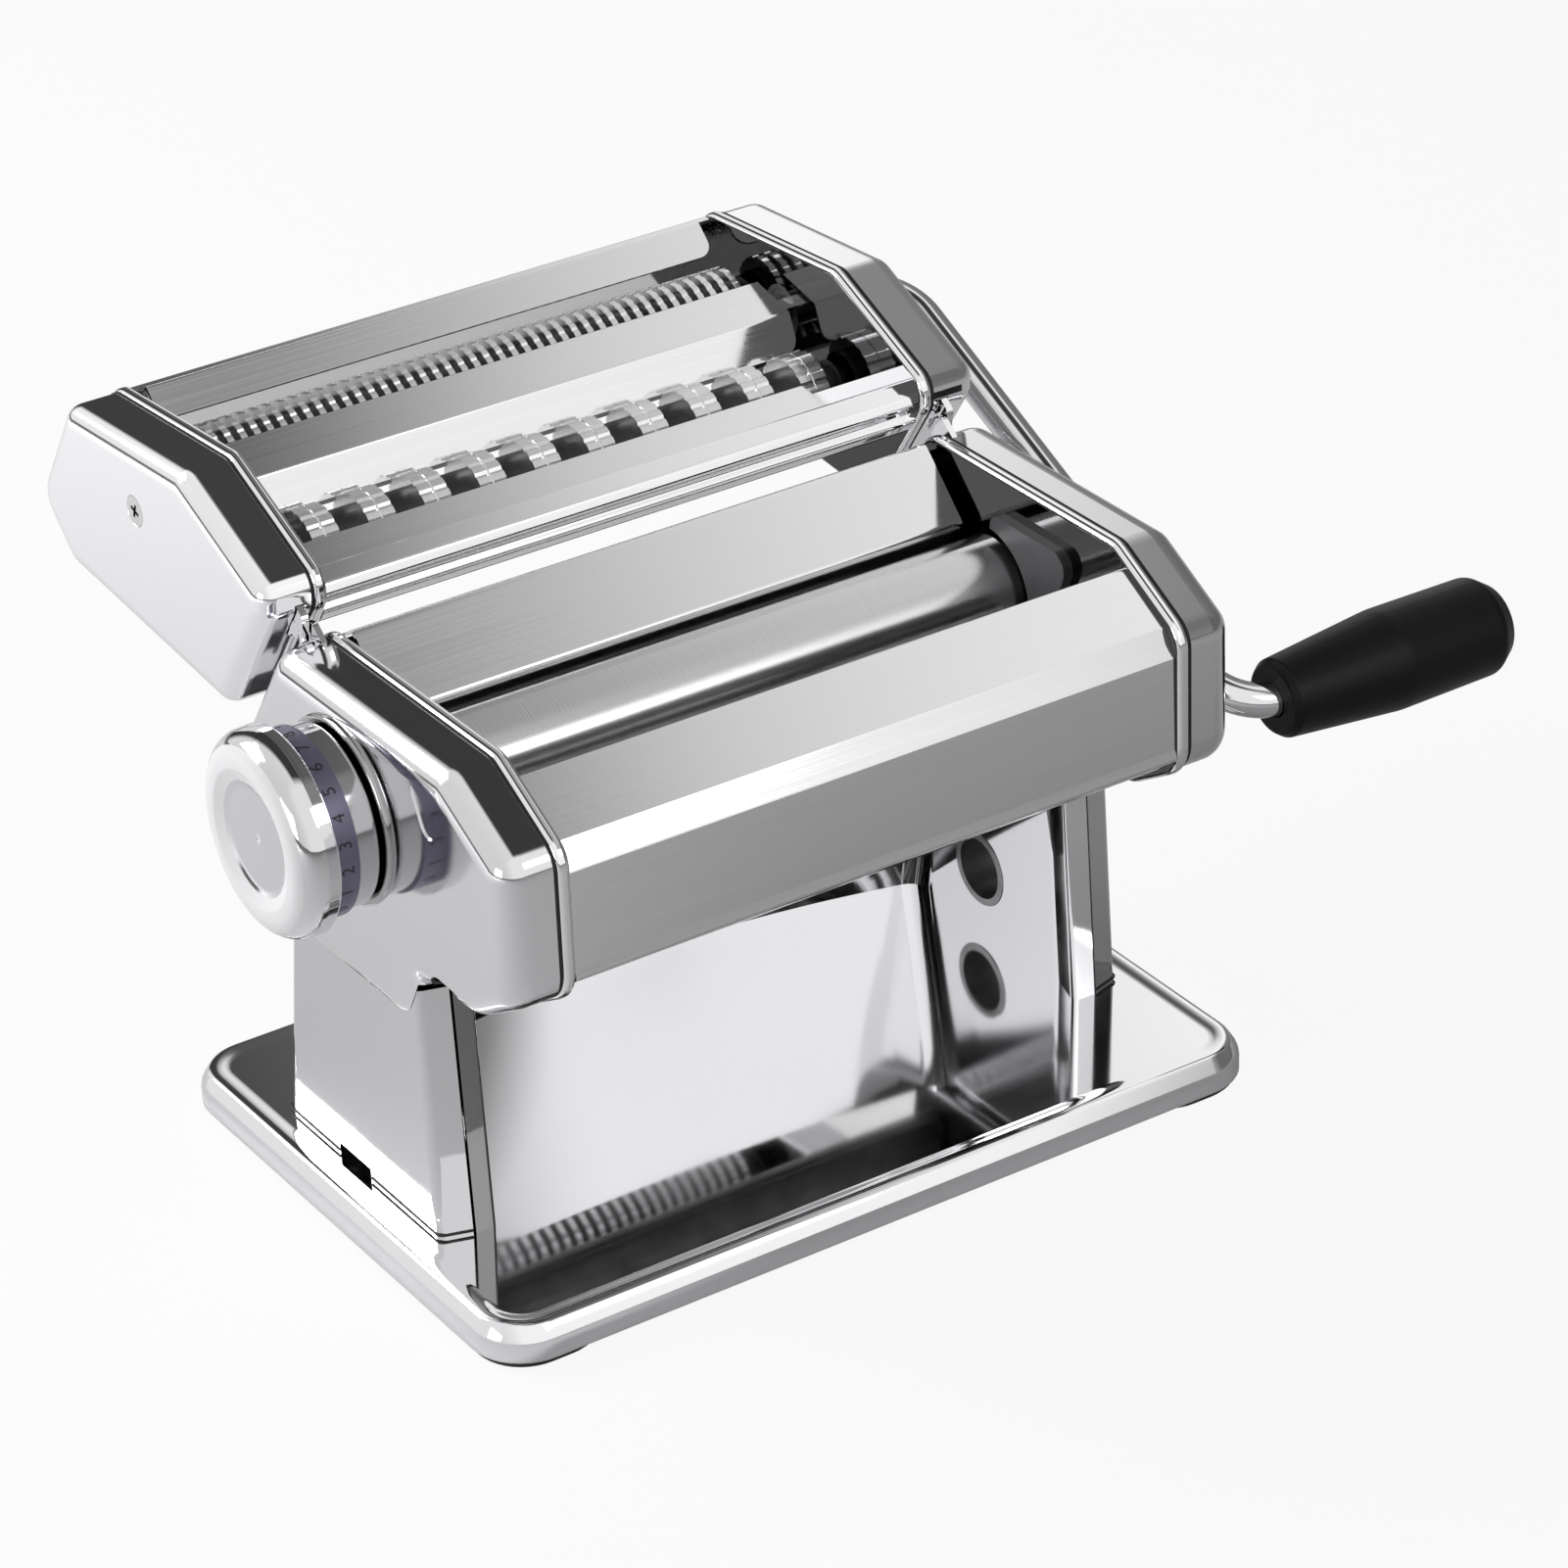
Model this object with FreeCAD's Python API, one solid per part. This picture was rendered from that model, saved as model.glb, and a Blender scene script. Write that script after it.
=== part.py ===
import FreeCAD, Part
import math
import os
from FreeCAD import Vector

# A hand-cranked dough roller on a sheet-metal stand, with a double cutter hung on its back.
# +X is the crank side, -Y the front where the sheet comes out, +Z up.
# The origin is on the table, under the middle of the base. All sizes are in millimetres.
# Side views are lists of corners (y, z, bend radius), clockwise as seen from +X with +Y to the right.

# base and stand
BASE_HALF_LENGTH = 95.8
BASE_HALF_DEPTH = 67.0
BASE_TOP = 10.0
BASE_LIP = 2.3
BASE_CORNER = 12.0
BASE_ROLL = 4.0
BASE_SHEET = 1.0
FOOT_SIZE = 28.0
STAND_TOP = 70.0
STAND_SHEET = 0.8
INNER_WALL = 78.7
OUTER_WALL = 89.0
FRONT_LEAN = 0.05
REAR_LEAN = -0.154
PANEL_BOW = 10.0
PANEL_BOW_AT_TOP = 2.0
CLAMP_HOLE = (10.0, 25.0)
CLAMP_HOLE_RADIUS = 9.2

# roller head and the cutter behind it, seen from the side
HEAD_SIDE = [(-69.4, 119.2, 6.5), (-46.5, 131.6, 6.5), (22, 131, 6.5), (40.5, 104, 8), (33.5, 62, 6.5),
             (-23, 62, 6.5), (-30, 75, 5), (-52.5, 77, 7), (-69.4, 87, 9)]
CUTTER_SIDE = [(24.8, 142.8, 4.8), (58.7, 157.6, 6), (111, 154, 6), (129, 126.5, 8),
               (115, 113.2, 6), (45.5, 107.1, 5), (25, 136.5, 4.8)]
LEG_ARCH = [(-50, 74, 0), (-48, 81.2, 3), (-38.3, 81.8, 5), (-24.5, 62.5, 0), (-24.5, 55, 0)]
FRAME_INNER = 75.5
FRAME_SHEET = 1.2
FRAME_BEAD = 78.6
BEAD_PROUD = 0.75
BEAD_DEPTH = 2.6
CASING_OUTER = 91.4
CASING_SHEET = 0.8
HEAD_CASING_FILLET = 6.0
CUTTER_CASING_FILLET = 4.5

# dough rollers: the front one moves towards the fixed one along CLOSING
ROLLER_RADIUS = 12.0
ROLLER_HALF = 74.5
FRONT_ROLLER = (-4.5, 105.2)
FIXED_ROLLER = (16.1, 87.9)
GAP_OPENING = 1.87
GAP_CLOSING = 2.33
JOURNAL_RADIUS = 8.2
HOLLOW_RADIUS = 6.9
FIXED_JOURNAL = 7.0
CARRIAGE_BAR = (-20.0, 96.0)
CAM_THROW = 2.2
CAM_RADIUS = 6.5
SHAFT_RADIUS = 4.0
ROLLER_TEETH = 12
ROLLER_GEAR_TIP = 14.8
ROLLER_GEAR_ROOT = 9.4
HEAD_GEAR_SPAN = (80.4, 84.4)
TIE_RODS = [(-57.0, 104.0), (-10.0, 70.5), (27.0, 72.0)]
TIE_ROD_RADIUS = 4.0

# thickness dial on the left end of the adjuster shaft
DIAL_BOSS_RADIUS = 21.0
DIAL_BOSS_FACE = -92.6
DIAL_SPIGOT_RADIUS = 17.0
COLLAR_RADIUS = 20.0
COLLAR_BACK = -93.5
RING_BACK = -99.0
RING_RADIUS = 20.7
CAP_BACK = -104.4
CAP_RADIUS = 22.9
CAP_FACE = -113.3
PIN_TRACK = 14.0
POINTER_MARK = [(-33.7, 125.1, 0.4), (-47.8, 119.2, 3.6), (-39.8, 112.2, 3.6)]
POINTER_DEPTH = 0.35

# cutter rollers, their gears and the crank socket
DRIVE = (80.0, 140.6)
FINE_FRONT = (95.92, 137.62)
FINE_REAR = (108.42, 127.32)
WIDE_FRONT = (61.0, 129.7)
WIDE_REAR = (73.5, 119.4)
IDLER = (85.23, 127.4)
RING_RADIUS_BIG = 9.3
CORE_RADIUS = 6.5
RING_ZONE = 71.0
FINE_PITCH = 3.3
WIDE_PITCH = 14.0
RING_PLAY = 0.1
FINE_SIDES = 10
WIDE_SIDES = 20
CUTTER_JOURNAL = 4.0
FINE_GEAR_SPAN = (79.0, 81.2)
WIDE_GEAR_SPAN = (81.8, 84.4)
CUTTER_TEETH = 16
IDLER_TEETH = 12

# hanger of the head and hook of the cutter
HANGER = (26.8, 131.6)
HANGER_PLANE = (79.6, 81.0)
HOOK_PLANE = (81.3, 82.9)

# crank
ROD_RADIUS = 4.0
BORE_RADIUS = 4.1
CRANK_PLANE = 106.5
CRANK_BEND = 14.0
ROD_TIP = 78.2
TANG_END = 82.6
TANG_HALF = (2.0, 3.0)
TANG_PLAY = 0.1
GRIP_AXIS = (-47.9, 80.9)
GRIP_START = 118.0
GRIP_END = 180.0

TINY = 1e-6
X_AXIS = Vector(1, 0, 0)


# ---- outlines -------------------------------------------------------------------------------

def side_view(x):
    return lambda y, z: Vector(x, y, z)


def plan_view(z):
    return lambda x, y: Vector(x, y, z)


def unit(vector):
    return vector * (1 / vector.Length)


def corner_stops(before, corner, after, radius):
    """Start, middle and end of the arc that rounds a corner, or the corner itself."""
    if radius <= 0:
        return [corner]
    inward = unit(before - corner)
    outward = unit(after - corner)
    half = inward.getAngle(outward) / 2
    bisector = unit(inward + outward)
    reach = radius / math.tan(half)
    middle = corner + bisector * (radius / math.sin(half) - radius)
    return [corner + inward * reach, middle, corner + outward * reach]


def rounded_wire(corners, view, closed=True):
    """Straight runs joined by tangent arcs through corners (u, v, radius)."""
    points = [view(u, v) for u, v, radius in corners]
    count = len(points)
    stops = [corner_stops(points[i - 1], points[i], points[(i + 1) % count], corners[i][2])
             for i in range(count)]
    edges = []
    for i, stop in enumerate(stops):
        if len(stop) == 3:
            edges.append(Part.Arc(*stop).toShape())
        following = stops[(i + 1) % count][0]
        if (closed or i + 1 < count) and stop[-1].distanceToPoint(following) > TINY:
            edges.append(Part.makeLine(stop[-1], following))
    return Part.Wire(edges)


def offset_path(corners, amount, closed=False):
    """The path moved to its left by amount, with its bends kept concentric."""
    count = len(corners)
    moved = []
    for i, (u, v, radius) in enumerate(corners):
        here = Vector(u, v, 0)
        before = Vector(*corners[i - 1][:2], 0)
        after = Vector(*corners[(i + 1) % count][:2], 0)
        first = unit(here - before) if closed or i > 0 else unit(after - here)
        last = unit(after - here) if closed or i + 1 < count else first
        normals = Vector(-first.y, first.x, 0) + Vector(-last.y, last.x, 0)
        place = here + normals * (amount / (1 + first.dot(last)))
        turn = math.copysign(1, first.cross(last).z)
        bend = max(radius - amount * turn, 0) if radius > 0 else 0
        moved.append((place.x, place.y, bend))
    return moved


def sheet_outline(path, thickness):
    """Closed outline of a bent sheet: the path is one face, the other lies to its left."""
    return path + offset_path(path, thickness)[::-1]


# ---- solids ---------------------------------------------------------------------------------

def side_slab(corners, start, end):
    face = Part.Face(rounded_wire(corners, side_view(start)))
    return face.extrude(Vector(end - start, 0, 0))


def bent_sheet(path, thickness, half_length):
    return side_slab(sheet_outline(path, thickness), -half_length, half_length)


def leaning_sheet(low_path, high_path, thickness, bottom, top):
    """A sheet whose plan view changes evenly from low_path to high_path."""
    low = rounded_wire(sheet_outline(low_path, thickness), plan_view(bottom))
    high = rounded_wire(sheet_outline(high_path, thickness), plan_view(top))
    return Part.makeLoft([low, high], True, True)


def box(x, y, z):
    """A block between pairs of limits."""
    return Part.makeBox(x[1] - x[0], y[1] - y[0], z[1] - z[0], Vector(x[0], y[0], z[0]))


def rod(centre, radius, start, end):
    return Part.makeCylinder(radius, end - start, Vector(start, *centre), X_AXIS)


def ring(centre, outer, inner, start, end):
    return rod(centre, outer, start, end).cut(rod(centre, inner, start - 1, end + 1))


def turned(centre, outline):
    """A body of revolution about X through centre, from its half section (x, radius, bend)."""
    y, z = centre
    wire = rounded_wire(outline, lambda x, radius: Vector(x, y, z + radius))
    return Part.Face(wire).revolve(Vector(0, y, z), X_AXIS, 360)


def polygon_rod(centre, radius, sides, start, end):
    y, z = centre
    angles = [2 * math.pi * i / sides for i in range(sides)]
    corners = [(y + radius * math.cos(a), z + radius * math.sin(a), 0) for a in angles]
    return side_slab(corners, start, end)


def mirrored(shape):
    return shape.mirror(Vector(0, 0, 0), X_AXIS)


def pair(shape):
    return Part.Compound([shape, mirrored(shape)])


def along(centre, direction, distance):
    return (centre[0] + direction[0] * distance, centre[1] + direction[1] * distance)


def slot(centre, direction, back, forward, radius, start, end):
    """A hole that lets a rod of nearly this radius travel from -back to forward."""
    rear = along(centre, direction, -back)
    front = along(centre, direction, forward)
    side = (-direction[1], direction[0])
    corners = [(*along(rear, side, radius), 0), (*along(front, side, radius), 0),
               (*along(front, side, -radius), 0), (*along(rear, side, -radius), 0)]
    middle = side_slab(corners, start, end)
    return middle.fuse([rod(rear, radius, start, end), rod(front, radius, start, end)])


def direction_between(first, second):
    reach = math.dist(first, second)
    return ((second[0] - first[0]) / reach, (second[1] - first[1]) / reach)


CLOSING = direction_between(FRONT_ROLLER, FIXED_ROLLER)


# ---- gears ----------------------------------------------------------------------------------

def meshing_phase(phase, teeth, centre, other_centre, other_teeth):
    """Angle of a tooth of the other gear that puts its gap on this gear's tooth."""
    towards = math.atan2(other_centre[1] - centre[1], other_centre[0] - centre[0])
    share = (towards - phase) * teeth / (2 * math.pi)
    return towards + math.pi - (0.5 - share) * 2 * math.pi / other_teeth


def gear(centre, teeth, phase, root, tip, widths, span, bore):
    """A spur gear; widths are the shares of the tooth pitch at the root and at the tip."""
    y, z = centre
    pitch = 2 * math.pi / teeth
    corners = []
    for i in range(teeth):
        middle = phase + i * pitch
        for radius, share in ((root, -widths[0]), (tip, -widths[1]), (tip, widths[1]), (root, widths[0])):
            angle = middle + share * pitch / 2
            corners.append((y + radius * math.cos(angle), z + radius * math.sin(angle), 0))
    return side_slab(corners, *span).cut(rod(centre, bore, span[0] - 1, span[1] + 1))


def cutter_gear(centre, teeth, phase, span, bore):
    """Module 1 gear with a little backlash."""
    return gear(centre, teeth, phase, teeth / 2 - 1.15, teeth / 2 + 0.9, (0.62, 0.26), span, bore)


def roller_gear(centre, phase, bore):
    """Long-toothed gear that stays in mesh while the gap between the rollers changes."""
    return gear(centre, ROLLER_TEETH, phase, ROLLER_GEAR_ROOT, ROLLER_GEAR_TIP, (0.42, 0.12),
                HEAD_GEAR_SPAN, bore)


# ---- base and stand -------------------------------------------------------------------------

def rounded_plate(half_x, half_y, radius, bottom, top):
    corners = [(half_x, half_y, radius), (-half_x, half_y, radius),
               (-half_x, -half_y, radius), (half_x, -half_y, radius)]
    return Part.Face(rounded_wire(corners, plan_view(bottom))).extrude(Vector(0, 0, top - bottom))


def top_edges(solid, height):
    return [edge for edge in solid.Edges if abs(edge.BoundBox.ZMin - height) < TINY
            and abs(edge.BoundBox.ZMax - height) < TINY]


def base_plate():
    """Pressed tray, open below, with a rolled upper edge."""
    outer = rounded_plate(BASE_HALF_LENGTH, BASE_HALF_DEPTH, BASE_CORNER, BASE_LIP, BASE_TOP)
    outer = outer.makeFillet(BASE_ROLL, top_edges(outer, BASE_TOP))
    ceiling = BASE_TOP - BASE_SHEET
    inner = rounded_plate(BASE_HALF_LENGTH - BASE_SHEET, BASE_HALF_DEPTH - BASE_SHEET,
                          BASE_CORNER - BASE_SHEET, BASE_LIP, ceiling)
    inner = inner.makeFillet(BASE_ROLL - BASE_SHEET, top_edges(inner, ceiling))
    holes = [Part.makeCylinder(2.1, 3, Vector(x, y, ceiling - 1)) for x, y in anchor_places()]
    return outer.cut([inner] + holes)


def rubber_feet():
    """Four pads under the corners, from the table to the underside of the tray."""
    middle_x = BASE_HALF_LENGTH - 5 - FOOT_SIZE / 2
    middle_y = BASE_HALF_DEPTH - 5 - FOOT_SIZE / 2
    pads = []
    for x in (-middle_x, middle_x):
        for y in (-middle_y, middle_y):
            pad = rounded_plate(FOOT_SIZE / 2, FOOT_SIZE / 2, 5, 0, BASE_TOP - BASE_SHEET)
            pad = pad.makeChamfer(0.8, top_edges(pad, 0))
            pad.translate(Vector(x, y, 0))
            pads.append(pad)
    return Part.Compound(pads)


def bowed_panel_corner(half_width, edge_y, bow, corner_radius):
    """Corner in the middle of the back panel whose large bend makes the bow."""
    half_angle = math.atan2(half_width, 2 * bow)
    run = math.hypot(half_width, 2 * bow) - 2 * corner_radius
    return (0, edge_y + 2 * bow, run * math.tan(half_angle))


def inner_shell_path(rise, bow):
    """Plan view of the folded sheet: front flange, side wall, bowed back, and the same again."""
    front = FRONT_LEAN * rise
    rear = REAR_LEAN * rise
    corner_radius = 6
    half = [(81.3, -30.6 + front, 0), (75.5, -30.2 + front, 1.2), (INNER_WALL, -20 + front, 8),
            (INNER_WALL, 35 + rear, corner_radius)]
    middle = bowed_panel_corner(INNER_WALL, 35 + rear, bow, corner_radius)
    return half + [middle] + [(-x, y, radius) for x, y, radius in half[::-1]]


def stand_inner_shell():
    rise = STAND_TOP - BASE_TOP
    shell = leaning_sheet(inner_shell_path(0, PANEL_BOW), inner_shell_path(rise, PANEL_BOW_AT_TOP),
                          -STAND_SHEET, BASE_TOP, STAND_TOP)
    head = side_slab(offset_path(HEAD_SIDE, BEAD_PROUD + 0.2, closed=True), -FRAME_BEAD - 0.05,
                     FRAME_BEAD + 0.05)
    hole = rod(CLAMP_HOLE, CLAMP_HOLE_RADIUS, INNER_WALL - 2, INNER_WALL + 2)
    return shell.cut([head, hole])


def skin_path(rise):
    front = FRONT_LEAN * rise
    rear = REAR_LEAN * rise
    return [(81.9, -30.4 + front, 0), (OUTER_WALL, -28.2 + front, 2.5),
            (OUTER_WALL, 37 + rear, 3.5), (80.6, 38 + rear, 0)]


def stand_skin():
    """Outer cover of the right leg, with a small notch at its foot."""
    rise = STAND_TOP - BASE_TOP
    skin = leaning_sheet(skin_path(0), skin_path(rise), STAND_SHEET, BASE_TOP, STAND_TOP)
    return skin.cut(box((OUTER_WALL - 4, OUTER_WALL + 1), (0.5, 14), (BASE_TOP - 1, BASE_TOP + 3)))


def anchor_places():
    x = (INNER_WALL + OUTER_WALL) / 2
    return [(side * x, y) for side in (-1, 1) for y in (-17.0, 25.0)]


def leg_anchor_blocks():
    """Tapped blocks between the two walls of each leg."""
    half = (OUTER_WALL - INNER_WALL) / 2 - STAND_SHEET
    blocks = []
    for x, y in anchor_places():
        block = box((x - half, x + half), (y - 5, y + 5), (BASE_TOP, BASE_TOP + 9))
        blocks.append(block.cut(Part.makeCylinder(2, 12, Vector(x, y, BASE_TOP - 1))))
    return Part.Compound(blocks)


def stand_screws():
    underside = BASE_TOP - BASE_SHEET
    screws = []
    for x, y in anchor_places():
        head = Part.makeCylinder(3.6, 2.4, Vector(x, y, underside - 2.4))
        screws.append(head.fuse(Part.makeCylinder(2, 9, Vector(x, y, underside))))
    return screws


def clamp_socket():
    """Tube behind the hole in the right leg, where a table clamp hooks in."""
    return ring(CLAMP_HOLE, CLAMP_HOLE_RADIUS - 0.1, 7.4, INNER_WALL - 0.2, OUTER_WALL - STAND_SHEET)


# ---- sheet-metal frames and casings ---------------------------------------------------------

def framed_side(outline, holes):
    """Right side frame: a flat plate inside a rolled bead that stands proud of the casing."""
    rim = offset_path(outline, BEAD_PROUD, closed=True)
    body = side_slab(rim, FRAME_INNER, FRAME_BEAD)
    ends = [edge for edge in body.Edges if edge.BoundBox.XLength < TINY]
    body = body.makeFillet(1.2, ends)
    pocket = side_slab(offset_path(rim, -BEAD_DEPTH, closed=True), FRAME_INNER + FRAME_SHEET,
                       FRAME_BEAD + 1)
    return body.cut([pocket] + holes)


def casing(outline, fillet):
    """Right end casing: a pressed dish with a soft outer edge, open towards the frame."""
    outer = side_slab(outline, FRAME_BEAD, CASING_OUTER)
    inner_face = CASING_OUTER - CASING_SHEET
    inner = side_slab(offset_path(outline, -CASING_SHEET, closed=True), FRAME_BEAD, inner_face)
    outer = outer.makeFillet(fillet, end_edges(outer, CASING_OUTER))
    inner = inner.makeFillet(fillet - CASING_SHEET, end_edges(inner, inner_face))
    return outer.cut(inner)


def end_edges(solid, x):
    return [edge for edge in solid.Edges if abs(edge.BoundBox.XMin - x) < TINY
            and abs(edge.BoundBox.XMax - x) < TINY]


def head_frame():
    """Side frame of the roller head with the hanger for the cutter welded on."""
    through = (FRAME_INNER - 1, FRAME_BEAD + 1)
    holes = [rod(FIXED_ROLLER, 9.5, *through),
             slot(FRONT_ROLLER, CLOSING, GAP_OPENING, GAP_CLOSING, 10.0, *through),
             slot(CARRIAGE_BAR, CLOSING, GAP_OPENING, GAP_CLOSING, 3.3, *through)]
    holes += [rod(place, 2.05, *through) for place in TIE_RODS]
    return framed_side(HEAD_SIDE, holes).fuse(cutter_hanger())


def head_casing():
    """The legs come up through the bottom of the casing; an arch clears the leg's front fold."""
    leg = [(-33.5, 50, 0), (-29.5, STAND_TOP + 3, 0), (29.5, STAND_TOP + 3, 0), (36, 50, 0)]
    opening = side_slab(leg, FRAME_BEAD - 1, OUTER_WALL + 0.1)
    arch = side_slab(LEG_ARCH, FRAME_BEAD + 2, CASING_OUTER + 1)
    return casing(HEAD_SIDE, HEAD_CASING_FILLET).cut([opening, arch, hanger_slot()])


def head_left_casing():
    """Has the hole of the dial's shaft and a shallow pressed mark that the numbers are read against."""
    mark = side_slab(POINTER_MARK, -CASING_OUTER - 1, -CASING_OUTER + POINTER_DEPTH)
    shaft_hole = rod(FRONT_ROLLER, DIAL_SPIGOT_RADIUS + 0.05, -CASING_OUTER - 1, -FRAME_BEAD)
    return mirrored(head_casing()).cut([shaft_hole, mark])


def head_right_casing():
    """Has the hole of the crank socket."""
    socket = rod(FIXED_ROLLER, 6.7, FRAME_BEAD, CASING_OUTER + 1)
    return head_casing().cut(socket)


def cutter_frame():
    through = (FRAME_INNER - 1, FRAME_BEAD + 1)
    holes = [rod(place, 5.5, *through) for place in (FINE_FRONT, FINE_REAR, WIDE_FRONT, WIDE_REAR)]
    return framed_side(CUTTER_SIDE, holes).fuse(cutter_hook())


def cutter_right_frame():
    """Also has the bearing of the drive gear and the riveted stud of the idler gear."""
    frame = cutter_frame().cut(rod(DRIVE, 6.5, FRAME_INNER - 1, FRAME_BEAD + 1))
    return frame.fuse(rod(IDLER, 2.5, FRAME_INNER, 86.0))


def cutter_left_frame():
    return mirrored(cutter_frame()).cut(rod(DRIVE, 4.0, -FRAME_BEAD - 1, -FRAME_INNER + 1))


def cutter_right_casing():
    shell = casing(CUTTER_SIDE, CUTTER_CASING_FILLET)
    return shell.cut([rod(DRIVE, 6.7, FRAME_BEAD, CASING_OUTER + 1), hook_slot()])


def cutter_left_casing():
    """Dimpled round the countersunk screw that holds it."""
    seat = screw_cone(3.6)
    return mirrored(casing(CUTTER_SIDE, CUTTER_CASING_FILLET).cut(hook_slot())).cut(seat)


def screw_cone(wide):
    return Part.makeCone(wide, 1.8, 2.2, Vector(-CASING_OUTER, *DRIVE), X_AXIS)


def cutter_end_screw():
    shank = rod(DRIVE, 1.8, -CASING_OUTER + 2.2, -66)
    return screw_cone(3.5).fuse(shank)


# ---- sheets across the head -----------------------------------------------------------------

def front_panel():
    path = [(-62, 87, 0), (-68.7, 88.4, 4.5), (-68.7, 118.0, 5.5), (-49.6, 128.6, 1.4), (-49.2, 125.5, 0)]
    return bent_sheet(path, -0.8, FRAME_INNER)


def rear_guide_plate():
    """Smooth ramp that leads the dough down to the gap between the rollers."""
    path = [(24.5, 128.2, 0), (19.6, 131.2, 1.5), (5.2, 116.8, 2), (10.1, 105.6, 0)]
    return bent_sheet(path, 0.8, 73.0)


def rear_panel():
    path = [(22.0, 128.4, 0), (37.6, 104.6, 7), (31.5, 74, 0)]
    return bent_sheet(path, -0.8, FRAME_INNER)


def end_guides():
    """Cheeks that keep the dough off the ends of the front roller."""
    outline = [(-34.5, 123.6, 4), (-4.8, 123.6, 3), (-4.8, 104, 0), (-25.5, 104, 0)]
    cheek = side_slab(outline, 73.0, FRAME_INNER)
    return pair(cheek.cut(rod(FRONT_ROLLER, ROLLER_RADIUS + 2.6, 72, 76)))


def tie_rods():
    rods = [rod(place, TIE_ROD_RADIUS, -FRAME_INNER, FRAME_INNER) for place in TIE_RODS]
    bores = [rod(place, 2, side * 70.5 - 6, side * 70.5 + 6) for place in TIE_RODS for side in (-1, 1)]
    return Part.Compound([shaft.cut(bores) for shaft in rods])


def frame_screws():
    """Screws of the stand from below and of the tie rods from the sides."""
    screws = stand_screws()
    for place in TIE_RODS:
        head = rod(place, 3.6, FRAME_INNER + FRAME_SHEET, FRAME_BEAD - 0.1)
        screw = head.fuse(rod(place, 2, 66, FRAME_INNER + FRAME_SHEET))
        screws += [screw, mirrored(screw)]
    return Part.Compound(screws)


def fixed_scraper():
    """Blade on the rear tie rod that frees the sheet from the fixed roller."""
    y, z = TIE_RODS[2]
    rod_side = y - TIE_ROD_RADIUS
    path = [(rod_side, z - 5, 0), (rod_side, z + 2, 4), (rod_side - 0.7, 76.9, 0)]
    return bent_sheet(path, 0.6, 74.0)


# ---- dough rollers --------------------------------------------------------------------------

def fixed_roller():
    """Solid roller with its end edges broken."""
    roller = rod(FIXED_ROLLER, ROLLER_RADIUS, -ROLLER_HALF, ROLLER_HALF)
    ends = end_edges(roller, -ROLLER_HALF) + end_edges(roller, ROLLER_HALF)
    return roller.makeChamfer(0.5, ends)


def tang_block(centre, start, play):
    """The rectangular end of the crank, or with play the slot that takes it."""
    y, z = centre
    wide, high = (half + play for half in TANG_HALF)
    return box((start, TANG_END), (y - wide, y + wide), (z - high, z + high))


def socket_bore(centre):
    """Round bore for the crank with a flat-sided slot at its end that takes the tang."""
    bore = rod(centre, BORE_RADIUS, TANG_END - 0.4, CASING_OUTER + 1)
    return bore.fuse(tang_block(centre, ROD_TIP - 0.4, TANG_PLAY))


def fixed_roller_journals():
    left = rod(FIXED_ROLLER, FIXED_JOURNAL, -79.8, -ROLLER_HALF)
    right = rod(FIXED_ROLLER, FIXED_JOURNAL, ROLLER_HALF, 79.8)
    right = right.fuse(rod(FIXED_ROLLER, 6.2, 79.8, CASING_OUTER - 0.3))
    return Part.Compound([left, right.cut(socket_bore(FIXED_ROLLER))])


def roller_bushes():
    """Flanged bushes of the fixed roller and the small bush of the adjuster shaft's end."""
    sleeve = ring(FIXED_ROLLER, 9.5, FIXED_JOURNAL + 0.05, FRAME_INNER - 0.4, FRAME_INNER + FRAME_SHEET)
    flange = ring(FIXED_ROLLER, 10.8, FIXED_JOURNAL + 0.05, FRAME_INNER + FRAME_SHEET, 79.6)
    shaft_end = ring(FRONT_ROLLER, 7, 3.05, 84.9, CASING_OUTER - CASING_SHEET)
    return Part.Compound([pair(sleeve.fuse(flange)), shaft_end])


def adjustable_roller():
    """The same roller at the front, bored through for the adjuster shaft."""
    roller = fixed_roller()
    roller.translate(Vector(0, FRONT_ROLLER[0] - FIXED_ROLLER[0], FRONT_ROLLER[1] - FIXED_ROLLER[1]))
    return roller.cut(rod(FRONT_ROLLER, HOLLOW_RADIUS, -80, 80))


def adjustable_roller_journals():
    left = ring(FRONT_ROLLER, JOURNAL_RADIUS, HOLLOW_RADIUS, -79.6, -ROLLER_HALF)
    right = ring(FRONT_ROLLER, JOURNAL_RADIUS, HOLLOW_RADIUS, ROLLER_HALF, HEAD_GEAR_SPAN[1])
    return Part.Compound([left, right])


def block_blank():
    """Guide boss in the frame's slot, cover plate outside it and an arm to the tie bar."""
    boss = rod(FRONT_ROLLER, 9.9, FRAME_INNER + 0.1, FRAME_INNER + FRAME_SHEET + 0.2)
    plate = rod(FRONT_ROLLER, 12.5, FRAME_INNER + FRAME_SHEET + 0.2, 79.6)
    bar_end = rod(CARRIAGE_BAR, 5, FRAME_INNER + FRAME_SHEET + 0.2, 79.6)
    reach = direction_between(FRONT_ROLLER, CARRIAGE_BAR)
    side = (-reach[1] * 5, reach[0] * 5)
    corners = [(FRONT_ROLLER[0] + side[0], FRONT_ROLLER[1] + side[1], 0),
               (FRONT_ROLLER[0] - side[0], FRONT_ROLLER[1] - side[1], 0),
               (CARRIAGE_BAR[0] - side[0], CARRIAGE_BAR[1] - side[1], 0),
               (CARRIAGE_BAR[0] + side[0], CARRIAGE_BAR[1] + side[1], 0)]
    arm = side_slab(corners, FRAME_INNER + FRAME_SHEET + 0.2, 79.6)
    return boss.fuse([plate, bar_end, arm])


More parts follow.
